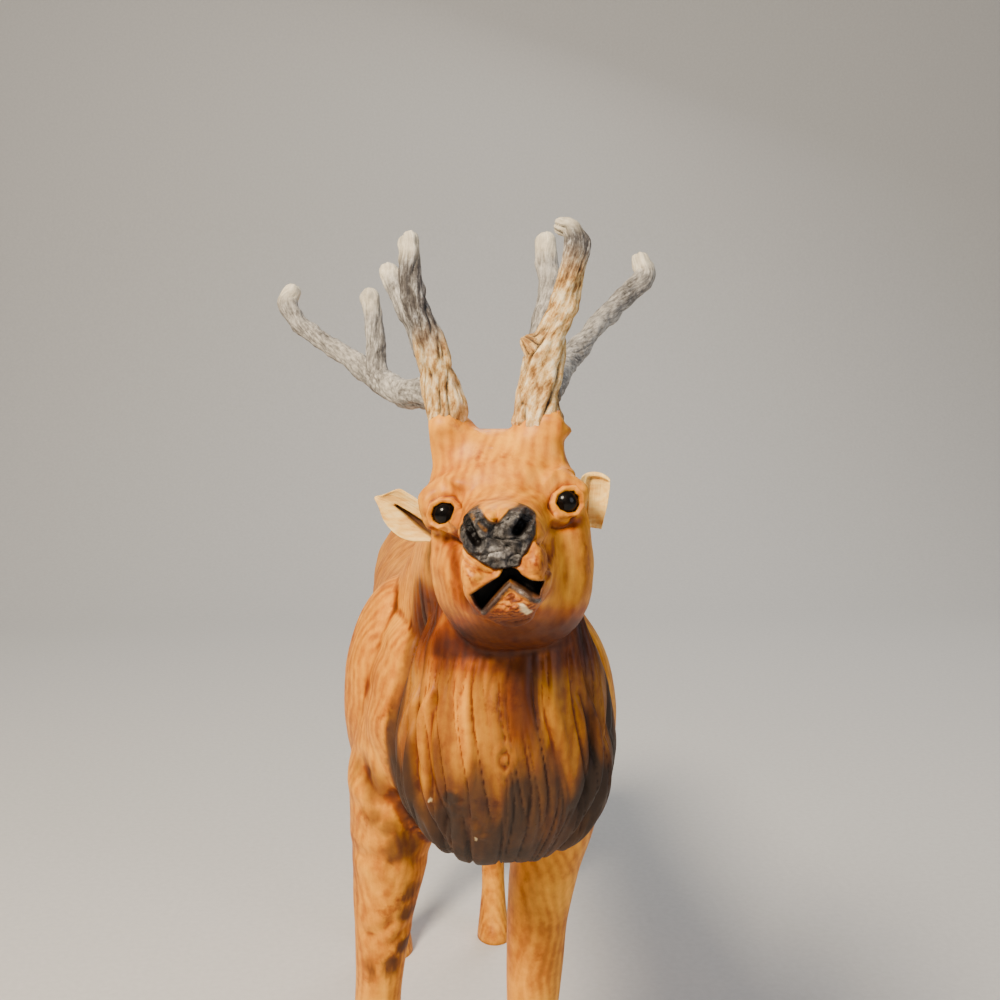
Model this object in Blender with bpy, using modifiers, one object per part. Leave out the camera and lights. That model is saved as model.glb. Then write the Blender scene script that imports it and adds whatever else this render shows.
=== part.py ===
"""A carved wooden stag: one carved figure, two branch antlers, two ears and two bead eyes.

Metres, +Z up, ground at z = 0. The stag looks along -Y, so its own left side is +X.
"""
from math import cos, pi, radians, sin

import bmesh
import bpy
import numpy as np
from mathutils import Euler, Matrix, Vector

# Sizes of the whole figure. The pose and proportions below are written in carving units:
# the top of the shoulders is 235 units above the ground.
shoulder_height = 0.235
unit = shoulder_height / 235

# Sizes of the pieces let into the figure
eye_radius = 0.0032
antler_peg_radius = 0.0032
antler_peg_depth = 0.009
ear_wall = 0.0014
ear_peg_radius = 0.0016
ear_peg_depth = 0.004
fit_clearance = 0.0003
socket_gap = 0.0005

# Sizes of the carved cuts
mouth_gap = 0.0032
mouth_depth = 0.007
mouth_slope = radians(39)
nostril_radius = 0.0019
nostril_depth = 0.004
hair_groove_depth = 0.0015
hair_groove_pitch = 0.0092

# Fineness of the faceted solids
voxel = 0.0022
figure_faces = 5200
antler_faces = 940

# The head is turned a little to the stag's right and tipped, about this point between the eyes
head_centre = Vector((7.4, -163, 249)) * unit
head_turn = Euler((0, radians(-5), radians(-6)), "XYZ").to_matrix()

# Rows along each form: x, y, z of the middle, half width, half height, in carving units
torso_rows = [
    (-2, 152, 198, 8, 10),
    (-2, 146, 196, 21, 21),
    (-2, 128, 192, 31, 31),
    (-1, 88, 191, 33, 32),
    (1, 40, 188, 34, 34),
    (3, -10, 186, 36, 38),
    (4, -55, 187, 38, 44),
    (4.5, -88, 189, 38, 45),
    (6, -112, 190, 35, 42),
    (8, -130, 190, 26, 32),
    (9, -141, 190, 12, 15),
]
neck_rows = [
    (3, -66, 198, 28, 34),
    (4, -90, 213, 27, 34),
    (6, -112, 228, 24, 32),
    (7, -132, 242, 21, 28),
    (7.5, -147, 252, 17, 22),
]
mane_rows = [
    (9, -143, 243, 15, 12),
    (9, -142, 226, 22, 18),
    (9, -140, 207, 29, 23),
    (9, -138, 189, 32, 25),
    (8.5, -135, 174, 29, 22),
    (8, -131, 163, 21, 15),
    (8, -130, 156, 8, 6),
]
# The head's rows run along its own axis: sideways, forwards, upwards from head_centre
skull_rows = [
    (0, -25, 6, 9, 10),
    (0, -18, 2, 16.5, 19),
    (1.0, -9, -2, 20.6, 24),
    (0.9, 0, -2.4, 19.8, 23),
    (0, 8, -1, 15.4, 19),
    (0, 16, 0.6, 12.2, 15.6),
    (0, 25, 1.6, 10.9, 13.9),
    (0, 33, 2.4, 10.6, 13.2),
    (0, 38, 3.4, 9.2, 11.2),
]
brow_rows = [
    (0, -10, 8, 16.5, 13),
    (0, -10, 15, 18.4, 12.5),
    (-0.5, -10, 21, 18.3, 11),
    (-0.6, -10, 26, 17.9, 9.5),
    (-0.3, -10, 30, 16.9, 8),
]
front_right_leg = [
    (-19, -92, 196, 13, 26),
    (-22, -94, 172, 14, 24),
    (-23.5, -96, 152, 13, 19),
    (-24.5, -97, 138, 11.4, 15),
    (-26.6, -98, 123, 9.4, 12),
    (-28, -99, 108, 8.0, 10.3),
    (-28.6, -99, 92, 7.3, 9.2),
    (-28.8, -100, 74, 7.0, 8.0),
    (-28.8, -99, 50, 5.6, 6.4),
    (-28.8, -99, 26, 6.2, 7.2),
    (-28.8, -102, 14, 7.4, 9.0),
    (-28.8, -105, 2, 9.0, 12.0),
    (-28.8, -105, -6, 9.0, 12.0),
]
front_left_leg = [
    (31, -92, 196, 13, 26),
    (31, -94, 172, 14, 24),
    (28.5, -96, 152, 13.4, 19),
    (25.4, -98, 138, 12.0, 15),
    (22.8, -99, 122, 10.2, 12),
    (21.6, -100, 108, 9.0, 10.5),
    (20.6, -100, 92, 8.2, 9.4),
    (20, -101, 74, 7.4, 8.2),
    (19.6, -100, 50, 5.8, 6.5),
    (19.6, -100, 26, 6.4, 7.2),
    (19.6, -103, 14, 7.4, 9.0),
    (19.6, -106, 2, 9.0, 12.0),
    (19.6, -106, -6, 9.0, 12.0),
]
hind_right_leg = [
    (-18, 116, 196, 13, 26),
    (-22, 116, 174, 14.5, 28),
    (-23.5, 115, 152, 13.4, 24),
    (-25, 117, 132, 10.8, 17),
    (-26, 127, 112, 8.4, 12),
    (-26.6, 138, 95, 7.2, 10.3),
    (-26.8, 139, 80, 6.4, 8.4),
    (-27, 133, 54, 5.8, 6.6),
    (-27, 129, 28, 6.2, 7.0),
    (-27, 126, 14, 7.2, 8.8),
    (-27, 123, 2, 8.8, 11.6),
    (-27, 123, -6, 8.8, 11.6),
]
hind_left_leg = [
    (16, 122, 196, 13, 26),
    (19, 122, 174, 14.5, 28),
    (20.5, 121, 152, 13.4, 24),
    (21.6, 124, 132, 10.8, 17),
    (22.2, 135, 112, 8.4, 12),
    (22.8, 147, 95, 7.2, 10.3),
    (23, 148, 80, 6.4, 8.4),
    (23.4, 143, 54, 5.6, 6.6),
    (23.6, 139, 28, 5.9, 7.0),
    (23.6, 137, 14, 7.0, 8.8),
    (23.6, 135, 2, 8.6, 11.6),
    (23.6, 135, -6, 8.6, 11.6),
]
tail_rows = [
    (-2, 142, 214, 5, 5),
    (-2, 152, 209, 5.5, 4.5),
    (-2, 157, 199, 5, 4),
    (-2, 158, 188, 2.5, 2.5),
]
# Rounded muscles: x, y, z of the middle, then the half sizes along x, y and z
muscles = [
    (-19.2, -84, 191, 19.3, 27, 37),
    (28.6, -86, 185, 18.9, 27, 36),
    (-15, 122, 184, 19, 30, 36),
    (12, 124, 184, 19, 30, 36),
    (3, -66, 219, 16.5, 40, 17),
]

# The branch antlers: x, y, z and radius along each shoot, in carving units
right_antler_shoots = [
    [(-7.0, -155, 280.4, 5.5), (-7.5, -155, 284.5, 5.5), (-9.0, -155, 290.3, 5.0), (-10.9, -155, 298.6, 4.4),
     (-12.9, -155, 304.6, 3.9), (-15.1, -155, 310.4, 3.5), (-16.1, -155, 316.6, 3.3),
     (-16.3, -154, 322.8, 3.2), (-16.5, -153, 325.9, 3.2)],
    [(-12.4, -151, 299.1, 3.5), (-15.4, -147, 305.5, 3.0), (-18.2, -142, 312.1, 2.9),
     (-20.6, -137, 317.5, 3.0), (-21.7, -135, 320.0, 2.8)],
    [(-8.2, -153, 286.9, 4.2), (-12.9, -143, 287.8, 4.1), (-17.7, -128, 287.0, 4.1),
     (-23.5, -112, 289.3, 3.8), (-29.6, -100, 293.1, 3.5), (-37.8, -90, 298.4, 3.1),
     (-45.5, -82, 302.9, 3.0), (-51.5, -76, 307.9, 3.1), (-54.8, -72, 313.3, 3.2), (-53.4, -70, 317.1, 2.8)],
    [(-25.3, -108, 290.4, 3.3), (-26.2, -105, 296.1, 3.2), (-26.8, -103, 303.3, 3.0),
     (-27.3, -102, 309.2, 2.9), (-28.2, -101, 314.1, 3.2)],
]
left_antler_shoots = [
    [(16.1, -155, 280.8, 6.6), (15.8, -155, 284.4, 6.3), (16.3, -155, 290.2, 5.8), (17.5, -155, 296.6, 5.2),
     (19.3, -155, 302.9, 4.5), (21.8, -155, 309.2, 3.8), (23.6, -155, 315.5, 3.6), (25.1, -155, 321.7, 3.4),
     (25.9, -154, 326.0, 3.6), (24.6, -152, 329.7, 3.1), (22.8, -150, 330.6, 2.6)],
    [(16.8, -155, 298.2, 4.4), (14.6, -155.5, 300.0, 3.6), (13.9, -155.5, 300.6, 3.0)],
    [(16.8, -152, 300.4, 3.7), (18.0, -148, 306.3, 3.3), (19.4, -144, 312.1, 3.0), (20.3, -141, 318.0, 3.0),
     (19.9, -139, 323.3, 3.2), (19.7, -138, 327.3, 3.1)],
    [(18.1, -153, 288.4, 4.3), (21.2, -141, 290.1, 4.1), (24.8, -124, 292.4, 3.9), (29.6, -108, 295.8, 3.6),
     (35.0, -98, 300.8, 3.3), (41.0, -90, 306.6, 3.2), (46.8, -84, 311.9, 3.2), (53.0, -79, 317.4, 3.4),
     (57.9, -76, 322.5, 3.6), (57.0, -74, 327.0, 3.1)],
]

# The ears, in the head's own axes: root and tip of each leaf, the way its hollow looks, the side that
# its far edge lies on, the reach of both edges at even steps from root to tip, how far each edge
# curls round (radians), and the foot and direction of its peg
ears = {
    "right_ear": dict(
        root=(-18.0, -8, 5.8),
        tip=(-32.2, -7, 15.2),
        looks=(-0.25, 0.93, -0.25),
        side=(0, 0, 1),
        near_edge=(4.6, 6.0, 6.6, 5.6, 3.6, 0.9),
        far_edge=(2.2, 2.8, 3.4, 3.8, 3.6, 0.9),
        curls=(1.6, 0.5),
        foot=(-20.0, -8, 7.0),
        peg=(-0.8, 0, 0.5),
    ),
    "left_ear": dict(
        root=(21.6, -8, 2.6),
        tip=(23.6, -8, 15.8),
        looks=(-0.45, 0.88, 0.05),
        side=(1, 0, 0),
        near_edge=(4.6, 5.0, 5.0, 4.6, 4.0, 2.8),
        far_edge=(2.6, 3.0, 3.3, 3.4, 3.3, 2.7),
        curls=(1.3, 1.0),
        foot=(20.4, -7, 8.0),
        peg=(1, 0, 0),
    ),
}

ear_end_round = 0.1

# Face marks in the head's own axes: sideways, forwards, upwards from head_centre
eye_places = {"right_eye": (-14.2, 4.6, 11), "left_eye": (15.7, 4.4, 11.5)}
socket_places = [(-13.4, 0, 10.8), (13.5, 0, 10.8)]
socket_swell = 7.2
pedicles = [
    ((-12.2, -8.5, 28.6), 7.4),
    ((10.6, -9, 27.4), 7.4),
    ((-13.5, -4.6, 31.8), 4.8),
    ((13.5, -6.4, 29.6), 5.0),
    ((16.8, -8, 28.2), 2.4),
]
lip_places = [(-5.4, 31.5, -1.2), (5.6, 31.5, -1.0)]
lip_radius = 6.2
chin_place = (1.0, 29.5, -7.4)
chin_radius = 6.2
nostril_places = [(-5.6, 38, 11), (5.6, 38, 11)]
mouth_top = (1.6, 38, 1.4)

wood_colours = {
    "carved_wood": ((0.62, 0.30, 0.10), 0.48),
    "branch_wood": ((0.46, 0.40, 0.31), 0.85),
    "pale_wood": ((0.80, 0.60, 0.32), 0.60),
    "black_bead": ((0.012, 0.010, 0.010), 0.12),
}


def start_clean():
    """Remove what the scene holds and make one collection for the stag and one for the cutters."""
    for old in list(bpy.data.objects):
        bpy.data.objects.remove(old)
    made = []
    for name in ("deer_figurine", "cutters"):
        collection = bpy.data.collections.new(name)
        bpy.context.scene.collection.children.link(collection)
        made.append(collection)
    return made


def wood(name):
    """A Principled material in one of the stag's plain colours."""
    colour, roughness = wood_colours[name]
    material = bpy.data.materials.new(name)
    material.use_nodes = True
    shader = material.node_tree.nodes["Principled BSDF"]
    shader.inputs["Base Color"].default_value = (*colour, 1)
    shader.inputs["Roughness"].default_value = roughness
    shader.inputs["Metallic"].default_value = 0
    return material


def smooth_rows(rows, count):
    """Read count rows from the smooth Catmull-Rom curve that passes through the given rows."""
    rows = np.array(rows, float)
    padded = np.vstack([2 * rows[0] - rows[1], rows, 2 * rows[-1] - rows[-2]])
    at = np.linspace(0, len(rows) - 1, count)
    first = np.minimum(at.astype(int), len(rows) - 2)
    t = (at - first)[:, None]
    a, b, c, d = (padded[first + k] for k in range(4))
    return 0.5 * (2 * b + (c - a) * t + (2 * a - 5 * b + 4 * c - d) * t**2 + (3 * b - a - 3 * c + d) * t**3)


def add_tube(shell, rings):
    """Skin a list of vertex rings into the bmesh as one closed tube with a fan at each end."""
    loops = [[shell.verts.new(p) for p in ring] for ring in rings]
    sides = len(loops[0])
    for low, high in zip(loops, loops[1:]):
        for k in range(sides):
            shell.faces.new((low[k], low[(k + 1) % sides], high[(k + 1) % sides], high[k]))
    for loop in (loops[0], loops[-1]):
        middle = shell.verts.new(sum((v.co for v in loop), Vector()) / sides)
        for k in range(sides):
            shell.faces.new((loop[(k + 1) % sides], loop[k], middle))


def add_form(shell, rows, place=Matrix.Identity(4), count=26, sides=28, squareness=1.0):
    """Loft ovals along the rows. Each oval stands square to the path, its width along x.

    With squareness under 1 the ovals fill out towards rounded boxes.
    """
    table = smooth_rows(rows, count) * unit
    middles = table[:, :3]
    radii = np.maximum(table[:, 3:], 0.0004)
    along = np.gradient(middles, axis=0)
    along /= np.linalg.norm(along, axis=1)[:, None]
    side = np.array([1.0, 0, 0]) - along[:, :1] * along
    side /= np.linalg.norm(side, axis=1)[:, None]
    up = np.cross(side, along)
    rings = []
    for middle, (wide, high), s, u in zip(middles, radii, side, up):
        ring = []
        for k in range(sides):
            angle = 2 * pi * k / sides
            c = abs(cos(angle)) ** squareness * (1 if cos(angle) >= 0 else -1)
            d = abs(sin(angle)) ** squareness * (1 if sin(angle) >= 0 else -1)
            ring.append(place @ Vector(middle + s * wide * c + u * high * d))
        rings.append(ring)
    add_tube(shell, rings)


def add_muscle(shell, x, y, z, wide, long, high):
    """Add a rounded swelling."""
    size = Matrix.Diagonal((wide * unit, long * unit, high * unit, 1))
    place = Matrix.Translation(Vector((x, y, z)) * unit) @ size
    bmesh.ops.create_uvsphere(shell, u_segments=24, v_segments=14, radius=1, matrix=place)


def head_place():
    """The matrix that takes the head's sideways, forwards and upwards onto the figure."""
    forwards_is_minus_y = Matrix(((1, 0, 0), (0, -1, 0), (0, 0, 1)))
    return Matrix.Translation(head_centre) @ (head_turn @ forwards_is_minus_y).to_4x4()


def from_head(point):
    """Where a point of the head, in carving units, lies on the figure."""
    return head_place() @ (Vector(point) * unit)


def new_object(name, mesh, collection, material=None):
    """Link a mesh as a named object and give it its material."""
    thing = bpy.data.objects.new(name, mesh)
    collection.objects.link(thing)
    if material:
        mesh.materials.clear()
        mesh.materials.append(material)
    return thing


def shell_object(name, shell, collection, material=None):
    """Turn a bmesh into a named object with its faces pointing out."""
    bmesh.ops.recalc_face_normals(shell, faces=shell.faces)
    mesh = bpy.data.meshes.new(name)
    shell.to_mesh(mesh)
    shell.free()
    return new_object(name, mesh, collection, material)


def settle(thing):
    """Apply an object's modifiers and keep the result as its own mesh."""
    bpy.context.view_layer.update()
    evaluated = thing.evaluated_get(bpy.context.evaluated_depsgraph_get())
    mesh = bpy.data.meshes.new_from_object(evaluated)
    thing.modifiers.clear()
    thing.data = mesh
    return thing


def fuse(thing, size, passes):
    """Grow overlapping forms into one skin and soften where they meet."""
    remesh = thing.modifiers.new("one_skin", "REMESH")
    remesh.mode = "VOXEL"
    remesh.voxel_size = size
    soften = thing.modifiers.new("soften", "SMOOTH")
    soften.factor = 0.5
    soften.iterations = passes
    return settle(thing)


def thin_out(thing, faces, keep=None):
    """Reduce an object to a number of triangles, leaving more of them where keep is high."""
    mesh = thing.data
    triangles = sum(len(p.vertices) - 2 for p in mesh.polygons)
    decimate = thing.modifiers.new("thin_out", "DECIMATE")
    decimate.ratio = min(1.0, faces / triangles)
    decimate.use_collapse_triangulate = True
    if keep is not None:
        group = thing.vertex_groups.new(name="keep")
        for step in np.unique(np.round(keep, 1)):
            members = np.nonzero(np.round(keep, 1) == step)[0].tolist()
            group.add(members, float(step), "REPLACE")
        decimate.vertex_group = group.name
        decimate.invert_vertex_group = True
        decimate.vertex_group_factor = 0.015
    settle(thing)
    thing.vertex_groups.clear()
    return thing


def mesh_arrays(mesh):
    """The vertices' places and normals as arrays."""
    places = np.empty(len(mesh.vertices) * 3)
    normals = np.empty(len(mesh.vertices) * 3)
    mesh.vertices.foreach_get("co", places)
    mesh.vertices.foreach_get("normal", normals)
    return places.reshape(-1, 3), normals.reshape(-1, 3)


def ramp(value, low, high):
    """0 below low, 1 above high, eased between."""
    t = np.clip((value - low) / (high - low), 0, 1)
    return t * t * (3 - 2 * t)


def mane_weight(places):
    """1 on the hanging mane of the chest, 0 on the rest of the figure."""
    x, y, z = (places / unit).T
    in_front = ramp(-y - 0.35 * (235 - z), 82, 106)
    below_jaw = ramp(236 - z, 0, 12)
    above_legs = ramp(z, 136, 144)
    inward = ramp(-y, 118, 128)
    return in_front * below_jaw * above_legs * np.maximum(inward, ramp(z, 176, 190))


def carve_hair(places, normals):
    """Cut long grooves down the mane, which spread from the throat over the chest."""
    x, y, z = (places / unit).T
    around = np.arctan2(x - 10, -(y + 118)) * 44 * unit
    wander = 0.0011 * np.sin(z / 13 + 2) + 0.0007 * np.sin(z / 7 + x / 9)
    wave = 0.5 + 0.5 * np.cos(2 * pi * (around + wander) / hair_groove_pitch)
    depth = hair_groove_depth * (wave**2 - 0.25) * mane_weight(places)
    return places - normals * depth[:, None]


def head_weight(places):
    """1 on the head, 0 on the rest of the figure."""
    x, y, z = (places / unit).T
    return ramp(z - 0.6 * (y + 150), 232, 246) * ramp(-y, 136, 146)


def build_figure(collection):
    """Fuse the body, neck, head and legs into one piece of wood and carve it."""
    shell = bmesh.new()
    add_form(shell, torso_rows, count=40, sides=36)
    add_form(shell, neck_rows, sides=32)
    add_form(shell, mane_rows, sides=32)
    add_form(shell, tail_rows, count=14, sides=14)
    for rows in (front_right_leg, front_left_leg, hind_right_leg, hind_left_leg):
        add_form(shell, rows, count=40, sides=20)
    for row in muscles:
        add_muscle(shell, *row)
    place = head_place()
    add_form(shell, skull_rows, place, count=30, sides=32, squareness=0.75)
    add_form(shell, brow_rows, place, count=16, sides=28, squareness=0.75)
    swellings = [(spot, socket_swell) for spot in socket_places]
    swellings += pedicles
    swellings += [(spot, lip_radius) for spot in lip_places]
    swellings += [(chin_place, chin_radius)]
    for spot, radius in swellings:
        ball = Matrix.Translation(from_head(spot))
        bmesh.ops.create_uvsphere(shell, u_segments=20, v_segments=12, radius=radius * unit, matrix=ball)
    figure = shell_object("figure", shell, collection, wood("carved_wood"))
    fuse(figure, voxel, 5)
    places, normals = mesh_arrays(figure.data)
    carved = carve_hair(places, normals)
    figure.data.vertices.foreach_set("co", carved.ravel())
    figure.data.update()
    keep = np.clip(0.9 * mane_weight(places) + head_weight(places), 0, 1)
    thin_out(figure, figure_faces, keep)
    return figure


def cutter_object(name, shell, cutters):
    """A wire object that only cuts."""
    tool = shell_object(name, shell, cutters)
    tool.hide_render = True
    tool.display_type = "WIRE"
    return tool


def cut(thing, tool):
    """Take one object's space out of another."""
    boolean = thing.modifiers.new(tool.name, "BOOLEAN")
    boolean.operation = "DIFFERENCE"
    boolean.object = tool


def rod(shell, start, end, radius, sides=20, end_radius=None):
    """Add a cylinder, or a cone, that runs from start to end."""
    axis = end - start
    turn = axis.to_track_quat("Z", "Y").to_matrix().to_4x4()
    bmesh.ops.create_cone(
        shell,
        cap_ends=True,
        segments=sides,
        radius1=radius,
        radius2=radius if end_radius is None else end_radius,
        depth=axis.length,
        matrix=Matrix.Translation((start + end) / 2) @ turn,
    )


def ground_cutter(cutters):
    """Everything under the ground, so that the hooves stand flat."""
    shell = bmesh.new()
    bmesh.ops.create_cube(shell, size=1, matrix=Matrix.Translation((0, 0, -0.5)))
    return cutter_object("ground", shell, cutters)


def mouth_cutter(side, cutters):
    """One side of the open mouth: a slot that runs down from under the nose."""
    shell = bmesh.new()
    reach = 10.5 * unit
    middle = Vector((side * cos(mouth_slope), 0, -sin(mouth_slope))) * (reach / 2 - mouth_gap * 0.2)
    place = (
        head_place()
        @ Matrix.Translation(Vector(mouth_top) * unit + middle)
        @ Matrix.Rotation(side * mouth_slope, 4, "Y")
        @ Matrix.Diagonal((reach, mouth_depth * 2, mouth_gap, 1))
    )
    bmesh.ops.create_cube(shell, size=1, matrix=place)
    return cutter_object("mouth_left" if side > 0 else "mouth_right", shell, cutters)


def nostril_cutter(index, spot, cutters):
    """One nostril, a slanting hole in the end of the muzzle."""
    shell = bmesh.new()
    mouth = from_head((spot[0], spot[1] + 4, spot[2]))
    inwards = from_head((0, 0, 0)) - from_head((0, 1, 0))
    floor = from_head((spot[0] * 0.8, spot[1], spot[2] - 0.5)) + inwards * (nostril_depth / unit)
    rod(shell, mouth, floor, nostril_radius * 1.3, sides=12, end_radius=nostril_radius * 0.8)
    return cutter_object(f"nostril_{index}", shell, cutters)


def build_eye(name, spot, collection, cutters, figure):
    """A bead eye in its round socket."""
    middle = Matrix.Translation(from_head(spot))
    shell = bmesh.new()
    bmesh.ops.create_uvsphere(shell, u_segments=12, v_segments=8, radius=eye_radius, matrix=middle)
    eye = shell_object(name, shell, collection, wood("black_bead"))
    socket = bmesh.new()
    socket_radius = eye_radius + socket_gap
    bmesh.ops.create_uvsphere(socket, u_segments=14, v_segments=10, radius=socket_radius, matrix=middle)
    cut(figure, cutter_object(name + "_socket", socket, cutters))
    return eye


def antler_curves(shoots, collection):
    """Each shoot as a bevelled curve with its own radii, then all of them as one bmesh."""
    shell = bmesh.new()
    for shoot in shoots:
        rows = smooth_rows(shoot, 5 * len(shoot)) * unit
        curve = bpy.data.curves.new("shoot", "CURVE")
        curve.dimensions = "3D"
        curve.bevel_depth = unit
        curve.bevel_resolution = 3
        curve.use_fill_caps = True
        line = curve.splines.new("POLY")
        line.points.add(len(rows) - 1)
        for point, row in zip(line.points, rows):
            point.co = (*row[:3], 1)
            point.radius = row[3] / unit
        thing = bpy.data.objects.new("shoot", curve)
        collection.objects.link(thing)
        bpy.context.view_layer.update()
        evaluated = thing.evaluated_get(bpy.context.evaluated_depsgraph_get())
        mesh = bpy.data.meshes.new_from_object(evaluated)
        shell.from_mesh(mesh)
        bpy.data.objects.remove(thing)
        bpy.data.curves.remove(curve)
        bpy.data.meshes.remove(mesh)
        for end in (rows[0], rows[-1]):
            ball = Matrix.Translation(Vector(end[:3]))
            ball_radius = end[3] * 0.98
            bmesh.ops.create_uvsphere(shell, u_segments=12, v_segments=8, radius=ball_radius, matrix=ball)
    bmesh.ops.remove_doubles(shell, verts=shell.verts, dist=0.00001)
    return shell


def grown_figure(figure, cutters):
    """The figure's skin moved out by the fit's clearance, to trim the pieces that stand on it."""
    tool = figure.copy()
    tool.data = figure.data.copy()
    tool.name = "grown_figure"
    cutters.objects.link(tool)
    tool.hide_render = True
    tool.display_type = "WIRE"
    grow = tool.modifiers.new("grow", "DISPLACE")
    grow.strength = fit_clearance
    grow.mid_level = 0
    return tool


def set_on_peg(thing, root, axis, radius, depth, cutters, figure):
    """Give a trimmed piece a round peg, and the figure the hole for it."""
    peg = bmesh.new()
    rod(peg, root + axis * 0.004, root - axis * depth, radius, sides=12)
    join = thing.modifiers.new("peg", "BOOLEAN")
    join.operation = "UNION"
    join.object = cutter_object(thing.name + "_peg", peg, cutters)
    hole = bmesh.new()
    hole_radius = radius + fit_clearance * 1.3
    rod(hole, root + axis * 0.012, root - axis * (depth + fit_clearance), hole_radius, sides=12)
    cut(figure, cutter_object(thing.name + "_hole", hole, cutters))


def build_antler(name, shoots, collection, cutters, figure, grown):
    """A forked branch whose foot is a round peg glued into the top of the head."""
    antler = shell_object(name, antler_curves(shoots, collection), collection, wood("branch_wood"))
    fuse(antler, 0.0011, 3)
    thin_out(antler, antler_faces)
    cut(antler, grown)
    foot = Vector(shoots[0][0][:3]) * unit
    upwards = (from_head((0, 0, 1)) - from_head((0, 0, 0))).normalized()
    set_on_peg(antler, foot, upwards, antler_peg_radius, antler_peg_depth, cutters, figure)
    return antler


def build_ear(name, form, collection, cutters, figure, grown):
    """A curled leaf of pale wood on a round peg.

    Across the leaf run two arcs, one to each edge, which both curl towards the hollow's side.
    """
    middle = from_head((0, 0, 0))
    root = from_head(form["root"])
    reach = from_head(form["tip"]) - root
    points = reach.normalized()
    side = from_head(form["side"]) - middle
    across = (side - points * side.dot(points)).normalized()
    looks = from_head(form["looks"]) - middle
    looks = (looks - points * looks.dot(points) - across * looks.dot(across)).normalized()
    steps, sides = 8, 8
    stations = np.linspace(0, 1, len(form["near_edge"]))
    shell = bmesh.new()
    grid = []
    for i in range(steps + 1):
        t = i / steps
        row = []
        for j in range(sides + 1):
            share = 2 * j / sides - 1
            edge = form["far_edge"] if share > 0 else form["near_edge"]
            curl = form["curls"][1 if share > 0 else 0]
            radius = np.interp(t, stations, edge) * unit / sin(min(curl, pi / 2))
            along = reach * (t - ear_end_round * t**4 * share**2)
            turn = curl * share
            place = root + along + across * radius * sin(turn) + looks * radius * (1 - cos(turn))
            row.append(shell.verts.new(place))
        grid.append(row)
    for low, high in zip(grid, grid[1:]):
        for j in range(sides):
            shell.faces.new((low[j], low[j + 1], high[j + 1], high[j]))
    ear = shell_object(name, shell, collection, wood("pale_wood"))
    wall = ear.modifiers.new("wall", "SOLIDIFY")
    wall.thickness = ear_wall
    wall.offset = 0
    wall.use_even_offset = True
    cut(ear, grown)
    foot = from_head(form["foot"])
    axis = (from_head(form["peg"]) - middle).normalized()
    set_on_peg(ear, foot, axis, ear_peg_radius, ear_peg_depth, cutters, figure)
    return ear


def centre_on_origin(collection):
    """Move every piece so that the stag's box stands centred on the origin."""
    bpy.context.view_layer.update()
    graph = bpy.context.evaluated_depsgraph_get()
    corners = [
        thing.matrix_world @ Vector(corner)
        for thing in collection.objects
        for corner in thing.evaluated_get(graph).bound_box
    ]
    middle = Vector([(min(c[k] for c in corners) + max(c[k] for c in corners)) / 2 for k in range(2)] + [0])
    for thing in collection.objects:
        settle(thing)
        thing.data.transform(Matrix.Translation(-middle))
    print("centred by", tuple(round(v, 6) for v in -middle))


def main():
    collection, cutters = start_clean()
    figure = build_figure(collection)
    grown = grown_figure(figure, cutters)
    cut(figure, ground_cutter(cutters))
    for side in (-1, 1):
        cut(figure, mouth_cutter(side, cutters))
    for index, spot in enumerate(nostril_places):
        cut(figure, nostril_cutter(index, spot, cutters))
    for name, spot in eye_places.items():
        build_eye(name, spot, collection, cutters, figure)
    for name, shoots in (("right_antler", right_antler_shoots), ("left_antler", left_antler_shoots)):
        build_antler(name, shoots, collection, cutters, figure, grown)
    for name, form in ears.items():
        build_ear(name, form, collection, cutters, figure, grown)
    centre_on_origin(collection)


main()
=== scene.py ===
from math import cos, pi, radians, sin

import bmesh
import bpy
import numpy as np
from mathutils import Euler, Matrix, Vector


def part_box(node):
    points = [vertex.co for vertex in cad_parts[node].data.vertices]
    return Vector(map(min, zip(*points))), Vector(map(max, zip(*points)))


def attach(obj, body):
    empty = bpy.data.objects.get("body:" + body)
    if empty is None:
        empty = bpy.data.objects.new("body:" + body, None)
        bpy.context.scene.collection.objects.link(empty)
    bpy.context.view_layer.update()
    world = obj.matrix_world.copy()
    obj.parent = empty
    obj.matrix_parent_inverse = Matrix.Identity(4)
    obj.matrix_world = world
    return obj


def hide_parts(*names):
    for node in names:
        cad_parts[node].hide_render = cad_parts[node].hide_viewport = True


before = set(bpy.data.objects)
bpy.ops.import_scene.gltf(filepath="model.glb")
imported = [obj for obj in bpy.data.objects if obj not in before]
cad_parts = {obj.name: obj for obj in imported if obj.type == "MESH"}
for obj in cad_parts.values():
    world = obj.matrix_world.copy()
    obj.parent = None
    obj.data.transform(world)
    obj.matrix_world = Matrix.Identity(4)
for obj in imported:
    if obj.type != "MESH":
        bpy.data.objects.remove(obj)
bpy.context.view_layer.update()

# Everything below is written in carving units, millimetres at this size, with the front hooves
# near x = 0. The head's own directions are sideways, forwards and upwards from its middle.
head = {
    "middle": (7.4, -163.0, 249.0),
    "turn": (0, -5, -6),
    "rightEye": (-14.2, 4.6, 11.0),
    "leftEye": (15.7, 4.4, 11.5),
}


def headDirections():
    turn = Euler([radians(a) for a in head["turn"]], "XYZ").to_matrix()
    return np.array(turn) @ np.diag([1.0, -1.0, 1.0])


def fromHead(points):
    return np.asarray(points, float) @ headDirections().T + np.array(head["middle"])


def toHead(points):
    return (np.asarray(points, float) - np.array(head["middle"])) @ headDirections()


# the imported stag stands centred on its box, so the right eye's bead says how far it was moved
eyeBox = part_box("right_eye")
rowShift = np.array((eyeBox[0] + eyeBox[1]) / 2) * 1000 - fromHead(head["rightEye"])
rowShift[2] = 0
print("carving to row frame, mm:", rowShift.round(3))


def ease(value, low, high):
    t = np.clip((value - low) / (high - low), 0, 1)
    return t * t * (3 - 2 * t)


def bell(value, middle, width):
    return np.exp(-((value - middle) / width) ** 2)


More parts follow.
